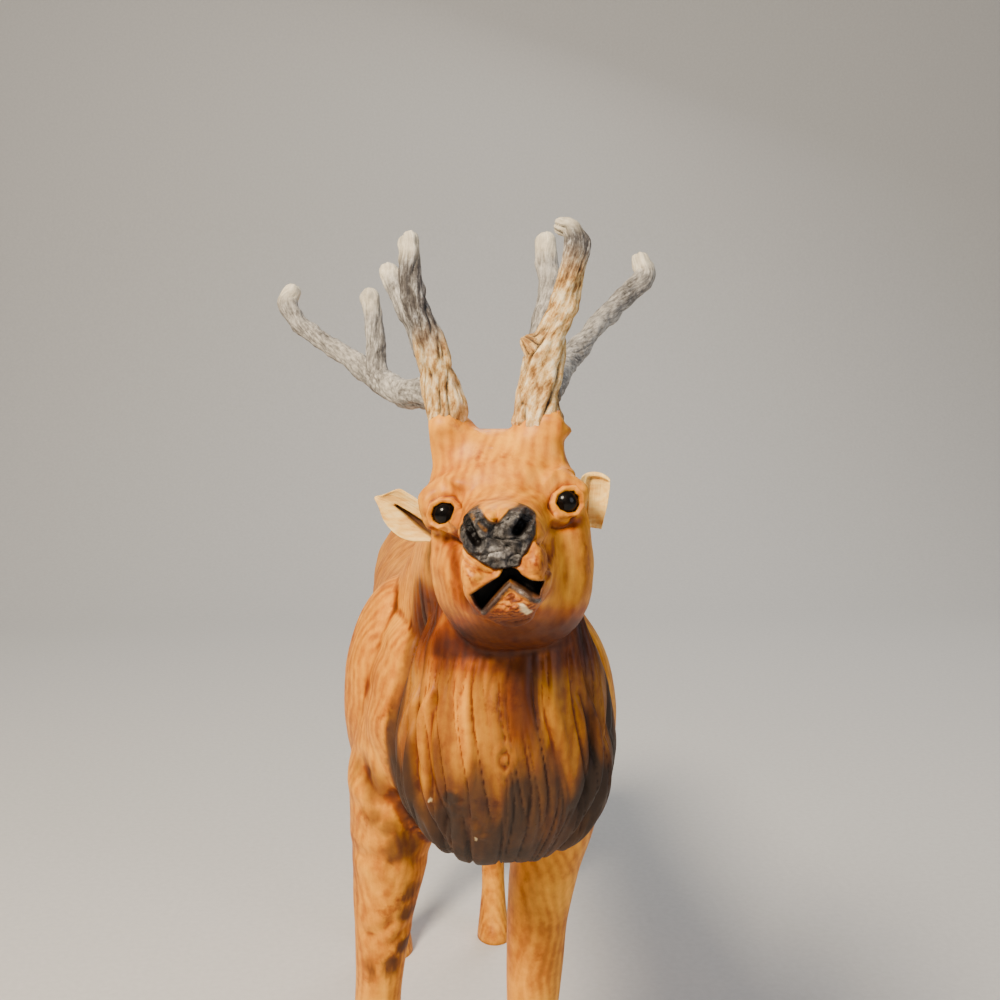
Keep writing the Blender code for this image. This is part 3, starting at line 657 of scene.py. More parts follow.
# Carved marks of the face, drawn as sideways and upwards on the head
face = {
    "nosePad": [
        (-8.8, 10.6), (-8.2, 12.8), (-6.7, 14.5), (-4.7, 15.3), (-3.4, 14.5), (-1.9, 12.6), (0.0, 11.8),
        (1.3, 13.1), (2.9, 14.5), (5.4, 14.9), (7.5, 14.1), (8.5, 11.9), (8.2, 8.8), (6.6, 6.0), (4.9, 4.2),
        (4.2, 2.5), (2.1, 2.0), (-1.5, 2.0), (-4.4, 4.0), (-7.1, 6.1), (-8.5, 8.4),
    ],
    "nostrils": [[(-6.9, 12.5), (-6.0, 10.8), (-4.8, 8.4)], [(7.3, 12.9), (5.9, 11.6), (4.4, 9.9)]],
    "nostrilWidths": (1.4, 1.6),
    "nostrilDepth": 3.6,
    "noseSwells": [((-5.0, 12.0), 3.4, 1.3), ((5.2, 12.2), 3.4, 1.3), ((0.5, 5.0), 3.2, 0.6)],
    "noseSeam": [(0.2, 15.0), (-0.2, 11.0), (-1.0, 9.2), (0.6, 7.6), (2.6, 6.4), (4.2, 4.6)],
    "grainStreak": [(-5.6, 14.0), (-4.2, 12.4), (-2.6, 10.8)],
    "mouth": [
        (-6.9, -3.1), (-4.0, -1.5), (-0.3, 0.2), (0.7, 1.7), (2.1, 1.9), (3.7, 1.4), (4.3, 0.4), (6.2, -1.0),
        (9.2, -1.8), (8.4, -3.4), (8.0, -5.0), (6.4, -4.2), (3.9, -2.2), (1.9, -0.6), (0.4, -1.7),
        (-2.5, -4.4), (-5.0, -7.0), (-6.1, -5.4),
    ],
    "chinEdge": [(-4.6, -7.2), (-2.2, -5.1), (1.6, -1.5), (3.6, -2.8), (6.3, -5.0), (7.9, -6.2)],
    "chip": [(3.5, -5.9), (4.4, -5.8), (5.2, -7.2), (6.2, -8.6), (5.0, -9.1), (3.8, -7.8)],
    "mouthDepth": 5.0,
    "lipPads": [((-6.1, 1.1), 3.3, 2.4), ((8.3, 2.9), 3.2, 2.9), ((1.8, -7.4), 4.0, 0.5)],
    "chin": [(1.7, -2.6), (-1.7, -5.6), (-3.9, -8.6), (-1.8, -10.4), (1.4, -11.2), (5.3, -11.0), (7.7, -7.0)],
    "rightEye": [
        (-17.4, 11.2), (-16.7, 13.0), (-14.8, 13.9), (-12.5, 13.6), (-11.5, 12.5), (-12.4, 10.6),
        (-14.0, 9.2), (-15.7, 8.9), (-17.1, 9.7),
    ],
    "leftEye": [
        (13.6, 11.6), (14.3, 13.2), (15.9, 14.1), (18.0, 14.0), (19.1, 12.6), (19.0, 10.7), (17.9, 9.3),
        (16.0, 9.3), (14.4, 10.2),
    ],
    "lidHeight": 0.8,
    # painted shade along lines of the face, as a line, half width and strength: both sides of the muzzle,
    # under both eyes and under the chin
    "shades": [
        ([(-10.8, 7.0), (-12.4, 4.5), (-12.7, 1.0), (-12.2, -3.8), (-10.8, -7.4)], 1.5, 0.7),
        ([(-18.8, 7.2), (-16.6, 4.7), (-13.6, 4.0), (-10.8, 5.6), (-9.4, 8.6)], 1.3, 0.7),
        ([(12.0, 7.2), (14.2, 5.4), (17.0, 5.2), (19.6, 6.8)], 1.1, 0.6),
        ([(-4.6, -9.8), (-1.4, -12.6), (2.0, -13.2), (5.8, -12.2), (8.0, -9.0)], 0.7, 0.8),
        ([(11.9, 4.0), (11.9, 1.0), (10.2, -1.6)], 0.5, 0.6),
    ],
}
# Ridges (above 0) and grooves (below 0) of the face: the line, half width, height, and the forwards
# coordinate it starts at
faceStrokes = [
    ([(-19.3, 10.0), (-18.9, 14.2), (-16.2, 17.3), (-12.9, 18.7), (-9.3, 18.2), (-6.3, 16.2)], 1.9, 2.0, -6),
    ([(-18.2, 12.4), (-16.4, 14.7), (-13.4, 15.5), (-10.8, 14.6)], 0.8, -0.7, -2),
    ([(-18.4, 9.6), (-16.9, 7.6), (-14.1, 7.3), (-11.5, 8.9), (-9.9, 11.4)], 0.8, 0.9, -2),
    ([(-18.8, 8.0), (-16.6, 5.5), (-13.6, 4.9), (-10.8, 6.4), (-9.2, 9.4)], 1.5, -2.6, -2),
    ([(-9.3, 13.4), (-8.6, 10.4), (-9.6, 8.0)], 1.1, -0.8, -2),
    ([(9.6, 14.0), (11.5, 16.9), (14.2, 18.0), (17.3, 17.7), (19.5, 15.7), (20.5, 12.5), (20.5, 8.8)],
     1.9, 1.8, -6),
    ([(13.2, 13.4), (14.9, 15.6), (17.2, 15.6), (19.6, 13.8)], 0.8, -0.6, -2),
    ([(12.6, 9.6), (14.4, 8.1), (16.6, 8.0), (18.6, 9.0), (19.7, 10.8)], 0.8, 0.9, -2),
    ([(11.9, 8.0), (14.2, 6.2), (17.0, 6.0), (19.6, 7.6)], 1.1, -1.7, -2),
    ([(11.6, 12.6), (12.0, 9.8), (12.8, 8.0)], 1.1, -0.6, -2),
    ([(-10.6, 9.0), (-12.4, 5.9), (-12.7, 1.0), (-12.2, -3.8), (-10.5, -7.4), (-9.0, -11.9)], 2.4, -3.0, 6),
    ([(-16.8, 2.0), (-17.6, -4.0), (-16.8, -9.5), (-13.6, -15.0)], 3.0, 1.0, -4),
    ([(13.0, 7.0), (14.6, 1.2), (15.4, -6.3), (14.0, -12.5)], 3.2, -0.7, 4),
    ([(-17.3, -13.9), (-12.6, -19.6), (-6.5, -22.6), (0.7, -23.7), (9.3, -22.2), (15.8, -18.5),
      (19.2, -15.2)], 1.8, -0.5, -6),
    ([(-9.4, 7.4), (-7.8, 4.3), (-3.1, 1.6), (-0.5, 0.9)], 0.5, -0.9, 25),
    ([(7.6, 8.0), (10.4, 6.0), (11.7, 2.7), (11.3, 0.3), (9.4, -1.7)], 0.65, -1.4, 18),
    ([(-9.0, 5.8), (-10.4, 3.4), (-10.5, -0.2), (-8.1, -3.1)], 0.8, -1.1, 18),
    ([(-5.4, -9.4), (-1.6, -12.9), (2.0, -13.6), (6.2, -12.6), (8.8, -8.8)], 1.0, -1.6, 18),
    ([(-3.8, -9.2), (-0.8, -11.2), (2.0, -11.7), (5.2, -11.0), (7.2, -8.8)], 0.7, 0.7, 18),
]
# Cuts seen from the front: a line of (x, z), half width, depth, and how far back it reaches
frontCuts = [
    ([(-13, 219), (-19, 210), (-22, 200), (-23, 190), (-24, 180), (-23, 168), (-17, 158), (-10, 150)],
     2.6, 1.7, -100),
    ([(34, 213), (37, 205), (39, 196), (40, 187), (40, 178), (37, 169), (30, 159), (21, 152)], 2.6, 1.7, -96),
    ([(-11, 215), (-16, 206), (-17.5, 195), (-16, 182), (-10, 169), (-4, 158)], 1.0, 1.5, -110),
    ([(-9, 213), (-12, 205), (-13, 195), (-11.5, 184), (-7, 172)], 0.9, 1.1, -116),
    ([(-16, 208), (-20, 196), (-20.5, 184), (-18, 172), (-12, 161)], 0.9, 1.3, -106),
    ([(31, 214), (34, 204), (35, 192), (34, 181), (28, 168), (20, 158)], 1.0, 1.5, -104),
    ([(27, 212), (30, 202), (31, 191), (29, 180), (23, 168)], 0.9, 1.1, -110),
    ([(6, 219), (7, 211), (10, 202), (13, 193), (13, 184)], 2.2, 1.0, -122),
    ([(15, 218), (16, 208), (19, 198), (18, 186)], 1.8, 0.8, -122),
    ([(-14, 215), (-21, 207), (-26, 199), (-30, 191)], 2.8, 1.0, -70),
    ([(-23, 214), (-28, 205), (-32, 194)], 3.0, 0.8, -70),
    ([(-33, 181), (-31, 172), (-27, 167), (-22, 165)], 3.0, 2.1, -80),
    ([(-36, 163), (-29, 162.4), (-22, 160)], 2.4, 0.8, -80),
    ([(-38, 146), (-28, 147), (-20, 144)], 2.4, 0.7, -80),
    ([(-20, 162), (-18, 153), (-15, 145), (-12, 140)], 2.6, 1.0, -80),
    ([(-22, 128), (-27, 122), (-34, 121)], 1.8, 0.8, -60),
    ([(-18, 124), (-24, 118.5), (-30, 119)], 1.6, 0.7, -60),
    ([(44, 182), (41.5, 174), (43, 163), (38, 154)], 2.6, 1.1, -80),
]
# Dark stains of the legs, and gnarled dark knots low in the mane, seen from the front: x, z, radius
# and strength. The first, broad spot is painted shade in the right shoulder's fold.
legStainsAndShade = [
    (-29, 171, 6, 0.4), (-18, 134, 3.2, 0.6), (-18.7, 127, 3, 0.6), (-19.4, 116, 3, 0.7), (-24, 111, 3, 0.6),
    (-30, 110, 2.2, 0.4), (-28.6, 161, 3.2, 0.4), (-24.5, 158, 2.6, 0.4), (-20, 150, 6, 0.5),
]
maneKnots = [(-6.7, 182, 3.4, 1.0), (-2.6, 177, 3.0, 0.9), (1, 173.5, 3.0, 0.9), (-5.3, 177, 3.0, 0.7)]
mane = {
    "strandAngle": 0.105,    # radians round the chest from strand to strand
    "strandLength": 42.0,    # how far a strand runs before it changes
    "depth": 1.8,
    "knot": (7.0, 194.0),    # x and z of the ringed knot in its middle
    "middle": (9.0, -112.0),
    "specks": [(-12.4, 180.6), (-0.2, 170.9), (3.1, 166.0)],    # x and z of small pale chips
    "speckRadius": 0.42,
}


# 1 where the mane's hair is, 0 away from it and on the jaw
def maneShare(points):
    x, y, z = points.T
    front = ease(-y - 0.30 * (235 - z), 84, 102)
    height = ease(240 - z, 0, 10) * ease(z, 148, 156)
    halfWidth = 24.5 + 9 * bell(z, 187, 26)
    inward = ease(halfWidth - np.abs(x - 9), -1.5, 3)
    _, f, u = toHead(points).T
    jaw = ease(u, -31, -26) * ease(f, -14, -8)
    return front * height * inward * (1 - jaw)


# where a point of the chest lies in the hair: round the chest, with a slow drift, and up it
def hairPlaces(points):
    x, y, z = points.T
    angle = np.arctan2(x - mane["middle"][0], -(y - mane["middle"][1]))
    drift = 0.12 * (noise(points, (26, 26, 30), 5) - 0.5)
    around = (angle + drift) / mane["strandAngle"]
    return angle, np.stack([around, z / mane["strandLength"]], axis=1)


def headShare(points):
    _, f, u = toHead(points).T
    return ease(f, -24, -16) * ease(u, -30, -24)


# ridges and grooves along lines: a bell across each line that fades at both ends
def strokeLift(flat, forwards, strokes):
    lift = np.zeros(len(flat))
    for path, width, height, start in strokes:
        near = np.nonzero((forwards > start - 3) & (np.abs(flat - np.mean(path, axis=0)).max(axis=1) < 26))[0]
        gap, share = alongPath(flat[near], curveRows(path, 4 * len(path)))
        fade = np.clip(np.sin(pi * np.clip(share, 0.02, 0.98)) * 1.6, 0, 1)
        lift[near] += height * bell(gap, 0, width) * fade * ease(forwards[near], start - 2, start + 2)
    return lift


# signed distance to an eye's opening, for the points near it
def eyeOpening(local, which):
    flat = local[:, [0, 2]]
    near = np.nonzero((np.abs(flat - np.array(head[which])[[0, 2]]).max(axis=1) < 8) & (local[:, 1] > -4))[0]
    gap = np.full(len(local), 9.0)
    gap[near] = outlineDistance(flat[near], face[which])
    return gap


# a lid round each opening, and inside it the skin sunk behind the bead
def carveEyes(local, normals):
    moved = local.copy()
    for which in ("rightEye", "leftEye"):
        gap = eyeOpening(local, which)
        rim = face["lidHeight"] * bell(gap, 0.75, 0.5) - 0.5 * bell(gap, 1.9, 0.45)
        hole = (1 - ease(gap, -0.2, 0.12)) * ease(local[:, 1], -1, 2)
        moved += normals * (rim * (1 - hole))[:, None]
        moved[:, 1] -= 4.2 * hole
        moved[:, 0] -= 1.6 * hole * np.sign(head[which][0])
    return moved


# the forehead column under the antlers has upright sides: what bulges past them is pressed in
def squareColumn(local):
    s, f, u = local.T
    part = ease(u, 17, 23) * ease(-f, -6, 2)
    ragged = 0.8 * (noise(local, (2.2, 2.2, 2.2), 31) - 0.3) * ease(u, 25, 28) * ease(s, 10, 15)
    left, right = np.maximum(-16.9 - s, 0), np.maximum(s - 16.2, 0)
    moved = local.copy()
    moved[:, 0] += part * (0.75 * left - 0.65 * right * (1 - bell(u, 28.2, 1.6)) + ragged)
    return moved


# the cracked nose pad, nostrils, lips, mouth and chin, all as a lift along the head's forwards
def carveMuzzle(local):
    s, f, u = local.T
    flat = np.stack([s, u], axis=1)
    front = ease(f, 27, 31)
    pad = outlineDistance(flat, face["nosePad"])
    inside = ease(-pad, -0.1, 0.6) * ease(f, 24, 27)
    cracks, finer = furrows(local, (3.2,) * 3, 0.07, 3), furrows(local, (1.7,) * 3, 0.10, 13)
    broken = np.maximum(cracks, 0.7 * finer)
    crumbs = noise(local, (0.9, 0.9, 0.9), 4) - 0.5
    slabs = np.round(4 * noise(local, (2.4, 2.4, 2.4), 14)) / 4 - 0.5
    lift = inside * (0.8 + 0.5 * crumbs + 0.55 * slabs - 0.9 * broken) - 0.6 * bell(pad, 0.3, 0.4) * front
    for middle, width, height in face["noseSwells"]:
        lift += height * bell(np.hypot(s - middle[0], u - middle[1]), 0, width) * front
    seam, _ = alongPath(flat, face["noseSeam"])
    lift -= 1.1 * bell(seam, 0, 0.6) * front
    for path, wide in zip(face["nostrils"], face["nostrilWidths"]):
        gap, share = alongPath(flat, path)
        wide = wide * (1.15 - 0.5 * share)
        lift += 0.6 * bell(gap, 2.2, 0.6) * front
        lift -= face["nostrilDepth"] * (1 - ease(gap, wide * 0.5, wide * 1.15)) * front
    wrinkles = noise(local, (1.1, 1.1, 1.1), 15) + 0.6 * noise(local, (0.6, 0.6, 0.6), 16) - 0.8
    for middle, width, height in face["lipPads"]:
        lift += (height + 0.45 * wrinkles) * bell(np.hypot(s - middle[0], u - middle[1]), 0, width) * front
    mouth = outlineDistance(flat, face["mouth"])
    lift += 0.4 * bell(mouth, 0.8, 0.5) * front
    chin = ease(-outlineDistance(flat, face["chin"]), -0.1, 0.5) * front
    rings = np.cos(2 * pi * (np.hypot(s - 3.0, u + 9.5) + 0.5 * noise(local, (2, 2, 2), 12)) / 1.15)
    lift += chin * (0.10 * rings - 0.35)
    lift -= face["mouthDepth"] * (1 - ease(mouth, -0.2, 0.25)) * front
    moved = local.copy()
    moved[:, 1] += lift
    return moved


# long hair of the mane: furrows drawn out along the chest, deeper towards its sides, with a ringed
# knot and a few gnarled ones
def hairLift(points):
    x, y, z = points.T
    angle, hair = hairPlaces(points)
    side = 0.30 + 0.70 * ease(np.abs(angle), 0.30, 0.75)
    deep = furrows(hair, (1, 1), 0.17, 7) ** 1.5
    thin = furrows(hair * [2.4, 1.3], (1, 1), 0.20, 8) ** 1.5
    swell = noise(hair * [0.5, 0.6], (1, 1), 9) - 0.5
    knot = np.hypot(x - mane["knot"][0], (z - mane["knot"][1]) / 1.5)
    knotRings = 0.45 * np.cos(2 * pi * knot / 2.6) * bell(knot, 0, 3.2) * (y < -120)
    knots = np.zeros(len(points))
    for knotX, knotZ, radius, _ in maneKnots:
        knots = np.maximum(knots, bell(np.hypot(x - knotX, z - knotZ), 0, radius))
    gnarls = knots * 1.8 * (noise(points, (1.9, 1.9, 1.9), 45) - 0.5)
    strands = 1.1 * swell - mane["depth"] * side * deep - 0.65 * thin + gnarls
    return maneShare(points) * strands + knotRings


# knife cuts and folds that the front shows: a groove between two low swellings
def cutLift(points, normals):
    x, y, z = points.T
    flat = np.stack([x, z], axis=1)
    lift = np.zeros(len(points))
    for path, width, depth, back in frontCuts:
        near = np.nonzero((y < back + 45) & (np.abs(flat - np.mean(path, axis=0)).max(axis=1) < 48))[0]
        gap, along = alongPath(flat[near], curveRows(path, 4 * len(path)))
        fade = np.clip(1.5 * np.sin(pi * np.clip(along, 0.02, 0.98)), 0, 1)
        fade = fade * ease(-normals[near, 1], -0.25, 0.15) * ease(back - y[near], -30, -8)
        lift[near] += depth * fade * (0.35 * bell(gap, width * 2.0, width * 0.9) - bell(gap, 0, width))
    return lift


# slow hand-carved unevenness over everything, finer and shallower on the head
def handLift(points, headPart):
    slow = 1.5 * (noise(points, (17, 17, 26), 1) - 0.5) + 0.5 * (noise(points, (7, 7, 12), 2) - 0.5)
    finer = 0.5 * noise(points, (5, 5, 5), 41) + 0.16 * noise(points, (2, 2, 2), 42) - 0.33
    return slow * (1 - 0.75 * headPart) * ease(points[:, 2], 3, 12) + headPart * finer


def carveFigure(points, normals):
    headPart = headShare(points)
    lift = hairLift(points) + cutLift(points, normals) + handLift(points, headPart)
    out = points + normals * lift[:, None]
    nearHead = headPart > 0
    local = toHead(out[nearHead])
    facing = normals[nearHead] @ headDirections()
    strokes = strokeLift(local[:, [0, 2]], local[:, 1], faceStrokes)
    local = squareColumn(carveEyes(local + facing * strokes[:, None], facing))
    out[nearHead] = fromHead(carveMuzzle(local))
    out[:, 2] = np.maximum(out[:, 2], 0)    # the hooves end level on the ground
    return out


# how deep a point lies in a crease: how far its surroundings, averaged, stand out over it
def creaseDepth(piece, rounds):
    mesh = piece.data
    points, normals = pointsOf(piece)
    ends = np.empty(len(mesh.edges) * 2, np.int64)
    mesh.edges.foreach_get("vertices", ends)
    a, b = ends.reshape(-1, 2).T
    count = np.bincount(np.concatenate([a, b]), minlength=len(points))[:, None]
    level = points.copy()
    for _ in range(rounds):
        total = np.stack(
            [np.bincount(np.concatenate([a, b]), np.concatenate([level[b, k], level[a, k]]), len(points))
             for k in range(3)], axis=1)
        level = total / np.maximum(count, 1)
    return ((level - points) * normals).sum(axis=1)


# dark stain: all of the mane's foot, streaks up its sides, and single spots on legs and mane, the
# broad one in the right shoulder's fold being painted shade
def stainOf(points):
    x, y, z = points.T
    angle, hair = hairPlaces(points)
    streak = noise(hair * [1.4, 0.7], (1, 1), 22)
    foot = ease(194 - z + 26 * (noise(points, (5, 5, 20), 21) - 0.5), -7, 19)
    side = ease(np.abs(angle + 0.06), 0.34, 0.72)
    left = 0.20 * ease(angle, 0.02, 0.14)
    stain = 0.04 + 0.95 * foot + side * (0.16 + 0.46 * streak) + left * (0.5 + streak)
    stain = np.clip(stain + 0.30 * ease(streak, 0.5, 0.75), 0, 1) * ease(maneShare(points), 0.0, 0.45)
    ragged = 0.9 * (noise(points, (2.4, 2.4, 3), 24) - 0.5)
    for spotX, spotZ, radius, strength in legStainsAndShade + maneKnots:
        spot = strength * (1 - ease(np.hypot(x - spotX, z - spotZ) / radius + ragged, 0.3, 1.3)) * (y < -85)
        stain = np.maximum(stain, spot)
    return stain


# charred wood of the nose and lips, the painted grey sheen of the nose's lower lobe, a burnt line round
# the nose pad, and black painted shade in the nostrils, mouth and eye sockets
def burntMarksAndShade(local):
    s, f, u = local.T
    flat = np.stack([s, u], axis=1)
    front, padFront = ease(f, 26, 29), ease(f, 23, 26)
    pad = outlineDistance(flat, face["nosePad"])
    lips = outlineDistance(flat, face["mouth"])
    edge, _ = alongPath(flat, face["chinEdge"])
    char = np.maximum(ease(-pad, -0.35, 0.1) * padFront, 0.55 * (1 - ease(lips, 0.2, 0.8)) * front)
    char = np.maximum(char, 0.92 * (1 - ease(edge, 0.45, 0.9)) * front)
    streakGap, _ = alongPath(flat, face["grainStreak"])
    char *= 1 - 0.25 * bell(streakGap, 0, 0.35) * (noise(local, (0.9, 0.9, 0.9), 36) > 0.4)
    # painted sheen: lighter grey on the nose's lower lobe, darker near its upper lobes
    ashAndSheen = bell(np.hypot((s - 1) / 1.5, u - 4.9), 0, 2.4) - 0.4 * bell(np.hypot(s - 1, u - 9.5), 0, 3)
    # black painted shade in the mouth slit, the nostrils and the eye sockets round the beads
    hollow = (1 - ease(lips, -0.05, 0.30)) * front
    for path, wide in zip(face["nostrils"], face["nostrilWidths"]):
        gap, _ = alongPath(flat, path)
        hollow = np.maximum(hollow, (1 - ease(gap, wide * 0.75, wide * 0.95)) * padFront)
    hollow = np.maximum(hollow, 0.8 * bell(pad, -0.05, 0.25) * padFront)
    for which in ("rightEye", "leftEye"):
        hollow = np.maximum(hollow, 1 - ease(eyeOpening(local, which), 0.0, 0.22))
    return char, ashAndSheen * padFront, hollow


# darker in every hollow of the surface, less on the smooth forehead; painted shade under the jaw, beside the
# mouth, below the eyes, along the muzzle's sides, under the chin and in the mane's middle fold, and the jaw's
# painted shadow on the mane's top; darker too in the wrinkles of the lips
def creaseAndShadeOf(piece, points, local):
    s, f, u = local.T
    flat = np.stack([s, u], axis=1)
    share = maneShare(points)
    angle, _ = hairPlaces(points)
    fine, broad = creaseDepth(piece, 6), creaseDepth(piece, 40)
    crease = 0.6 * ease(fine, 0.03, 0.34) + 0.35 * ease(broad, 0.3, 1.8)
    crease *= 1 - 0.8 * ease(17 - np.abs(s), 0, 3) * ease(u, 14, 18) * ease(f, -8, -5)
    # painted shade on the underside of the jaw
    jaw = ease(0.25 * (f - 20) - u, 7, 17) * ease(f, -16, -8) * ease(u, -31, -27)
    # painted shade beside the mouth's corners and along the face's shade lines
    shades = [bell(np.hypot(s + 8.8, u + 8.2), 0, 4.6), 0.45 * bell(np.hypot(s - 10, u + 7.5), 0, 3.5)]
    for path, width, strength in face["shades"]:
        gap, _ = alongPath(flat, path)
        shades.append(strength * bell(gap, 0, width))
    shade = np.maximum.reduce(shades) * ease(f, -2, 4)
    # painted shadow of the jaw on the top of the mane
    chinShadow = 0.75 * ease(points[:, 2], 210, 222) * share
    # painted shade in the mane's middle fold
    fold = 0.75 * bell(angle, 0.03, 0.09) * ease(points[:, 2], 190, 206) * share
    crease = np.maximum.reduce([crease, 0.95 * jaw, shade, chinShadow, fold])
    for middle, width, _ in face["lipPads"][:2]:
        wrinkle = 0.15 + furrows(local, (0.9, 0.9, 0.9), 0.12, 15)
        wrinkle = wrinkle * bell(np.hypot(s - middle[0], u - middle[1]), 0, width)
        crease = np.maximum(crease, 0.6 * wrinkle * ease(f, 26, 29))
    return crease


# small pale chips in the mane, and the fresh one in the chin
def chipsOf(points, local):
    x, _, z = points.T
    flat, front = local[:, [0, 2]], ease(local[:, 1], 26, 29)
    specks = np.zeros(len(points))
    for speckX, speckZ in mane["specks"]:
        speck = np.hypot(x - speckX, z - speckZ) < mane["speckRadius"]
        specks = np.maximum(specks, 0.7 * speck * maneShare(points))
    chip = ease(-outlineDistance(flat, face["chip"]), -0.2, 0.2) * front
    return np.maximum(specks, chip * (0.4 + noise(local, (0.8, 0.8, 0.8), 35)))


# what the wood's material reads at each point
def figureMarks(piece):
    points, _ = pointsOf(piece)
    local = toHead(points)
    char, ashAndSheen, hollow = burntMarksAndShade(local)
    chin = ease(-outlineDistance(local[:, [0, 2]], face["chin"]), -0.2, 0.4) * ease(local[:, 1], 26, 29)
    for name, values in (
        ("stain", stainOf(points)), ("char", char), ("ashAndSheen", ashAndSheen), ("hollow", hollow),
        ("crease", creaseAndShadeOf(piece, points, local)), ("pale", chipsOf(points, local)), ("endGrain", chin),
    ):
        setMark(piece, name, values)


# the points beside the outlines of eyes, mouth and nose, where a finer skin keeps the edges clean
def edgesOfFace(local):
    flat = local[:, [0, 2]]
    chosen = np.zeros(len(local), bool)
    for which in ("rightEye", "leftEye"):
        chosen |= np.abs(eyeOpening(local, which) - 0.1) < 1.2
    near = np.nonzero((local[:, 1] > 24) & (np.abs(local[:, 0]) < 14) & (np.abs(flat[:, 1] - 3) < 14))[0]
    for which in ("mouth", "nosePad"):
        chosen[near] |= np.abs(outlineDistance(flat[near], face[which])) < 0.9
    return chosen


figureSkin = {
    "voxel": 1.0,
    "passes": 8,
    "softening": 5,
    "foreheadSoftening": 140,
    "triangles": 196000,
}


def buildFigure():
    forms = [ovalForm(torsoRows, 90, 72), ovalForm(neckRows), ovalForm(maneRows), ovalForm(tailRows, 30, 28)]
    forms += [ovalForm(rows, 90, 36) for rows in legRows.values()]
    forms += [eggForm(middle, sizes) for middle, sizes in muscleEggs]
    forms += [ovalForm(skullRows, 60, 64, 0.75, onHead=True), ovalForm(browRows, 40, 56, 0.75, onHead=True)]
    forms += [eggForm(middle, (radius,) * 3, onHead=True) for middle, radius in headEggs]
    forms.append(eggForm(*foreheadEgg, onHead=True))
    figure = newPiece("carved_stag", *joined(forms))
    oneSkin(figure, figureSkin["voxel"], figureSkin["passes"])
    points, _ = pointsOf(figure)
    print("figure skin", len(points))
    refine(figure, maneShare(points) > 0.02, 1)
    points, _ = pointsOf(figure)
    s, f, u = toHead(points).T
    faceFront = (f > 24) & (np.abs(s) < 14) | (f > -4) & (u > 1) & (u < 22) & (np.abs(s) > 6)
    refine(figure, faceFront, 2)
    points, _ = pointsOf(figure)
    s, f, u = toHead(points).T
    softenNear(figure, np.maximum(maneShare(points), (f > -6) * 1.0), figureSkin["softening"])
    s, f, u = toHead(pointsOf(figure)[0]).T
    forehead = ease(17 - np.abs(s), 0, 3) * ease(u, 11, 15) * ease(33 - u, 0, 3) * ease(f, -8, -5)
    softenNear(figure, forehead, figureSkin["foreheadSoftening"])
    refine(figure, edgesOfFace(toHead(pointsOf(figure)[0])), 1)
    points, normals = pointsOf(figure)
    setPoints(figure, carveFigure(points, normals))
    thinTo(figure, figureSkin["triangles"])
    figureMarks(figure)
    return figure


antlers = {
    # each shoot is a line of x, y, z and radius
    "right": [
        [(-7.0, -155, 280.4, 5.5), (-7.5, -155, 284.5, 5.5), (-9.0, -155, 290.3, 5.0),
         (-10.9, -155, 298.6, 4.4), (-12.9, -155, 304.6, 3.9), (-15.1, -155, 310.4, 3.5),
         (-16.1, -155, 316.6, 3.3), (-16.3, -154, 322.8, 3.2), (-16.5, -153, 325.9, 3.2)],
        [(-12.4, -151, 299.1, 3.5), (-15.4, -147, 305.5, 3.0), (-18.2, -142, 312.1, 2.9),
         (-20.6, -137, 317.5, 3.0), (-21.7, -135, 320.0, 2.8)],
        [(-8.2, -153, 286.9, 4.2), (-12.9, -143, 287.8, 4.1), (-17.7, -128, 287.0, 4.1),
         (-23.5, -112, 289.3, 3.8), (-29.6, -100, 293.1, 3.5), (-37.8, -90, 298.4, 3.1),
         (-45.5, -82, 302.9, 3.0), (-51.5, -76, 307.9, 3.1), (-54.8, -72, 313.3, 3.2),
         (-53.4, -70, 317.1, 2.8)],
        [(-25.3, -108, 290.4, 3.3), (-26.2, -105, 296.1, 3.2), (-26.8, -103, 303.3, 3.0),
         (-27.3, -102, 309.2, 2.9), (-28.2, -101, 314.1, 3.2)],
    ],
    "left": [
        [(16.1, -155, 280.8, 6.6), (15.8, -155, 284.4, 6.3), (16.3, -155, 290.2, 5.8),
         (17.5, -155, 296.6, 5.2), (19.3, -155, 302.9, 4.5), (21.8, -155, 309.2, 3.8),
         (23.6, -155, 315.5, 3.6), (25.1, -155, 321.7, 3.4), (25.9, -154, 326.0, 3.6),
         (24.6, -152, 329.7, 3.1), (22.8, -150, 330.6, 2.6)],
        [(16.8, -155, 298.2, 4.4), (14.6, -155.5, 300.0, 3.6), (13.9, -155.5, 300.6, 3.0)],
        [(16.8, -152, 300.4, 3.7), (18.0, -148, 306.3, 3.3), (19.4, -144, 312.1, 3.0),
         (20.3, -141, 318.0, 3.0), (19.9, -139, 323.3, 3.2), (19.7, -138, 327.3, 3.1)],
        [(18.1, -153, 288.4, 4.3), (21.2, -141, 290.1, 4.1), (24.8, -124, 292.4, 3.9),
         (29.6, -108, 295.8, 3.6), (35.0, -98, 300.8, 3.3), (41.0, -90, 306.6, 3.2),
         (46.8, -84, 311.9, 3.2), (53.0, -79, 317.4, 3.4),
         (57.9, -76, 322.5, 3.6), (57.0, -74, 327.0, 3.1)],
    ],
    "voxel": 0.40,
    "passes": 4,
    "triangles": 150000,
    "furrowDepth": 0.75,
    "furrowAngle": 0.62,     # radians of girth to one ridge
    "furrowLength": 9.0,
}
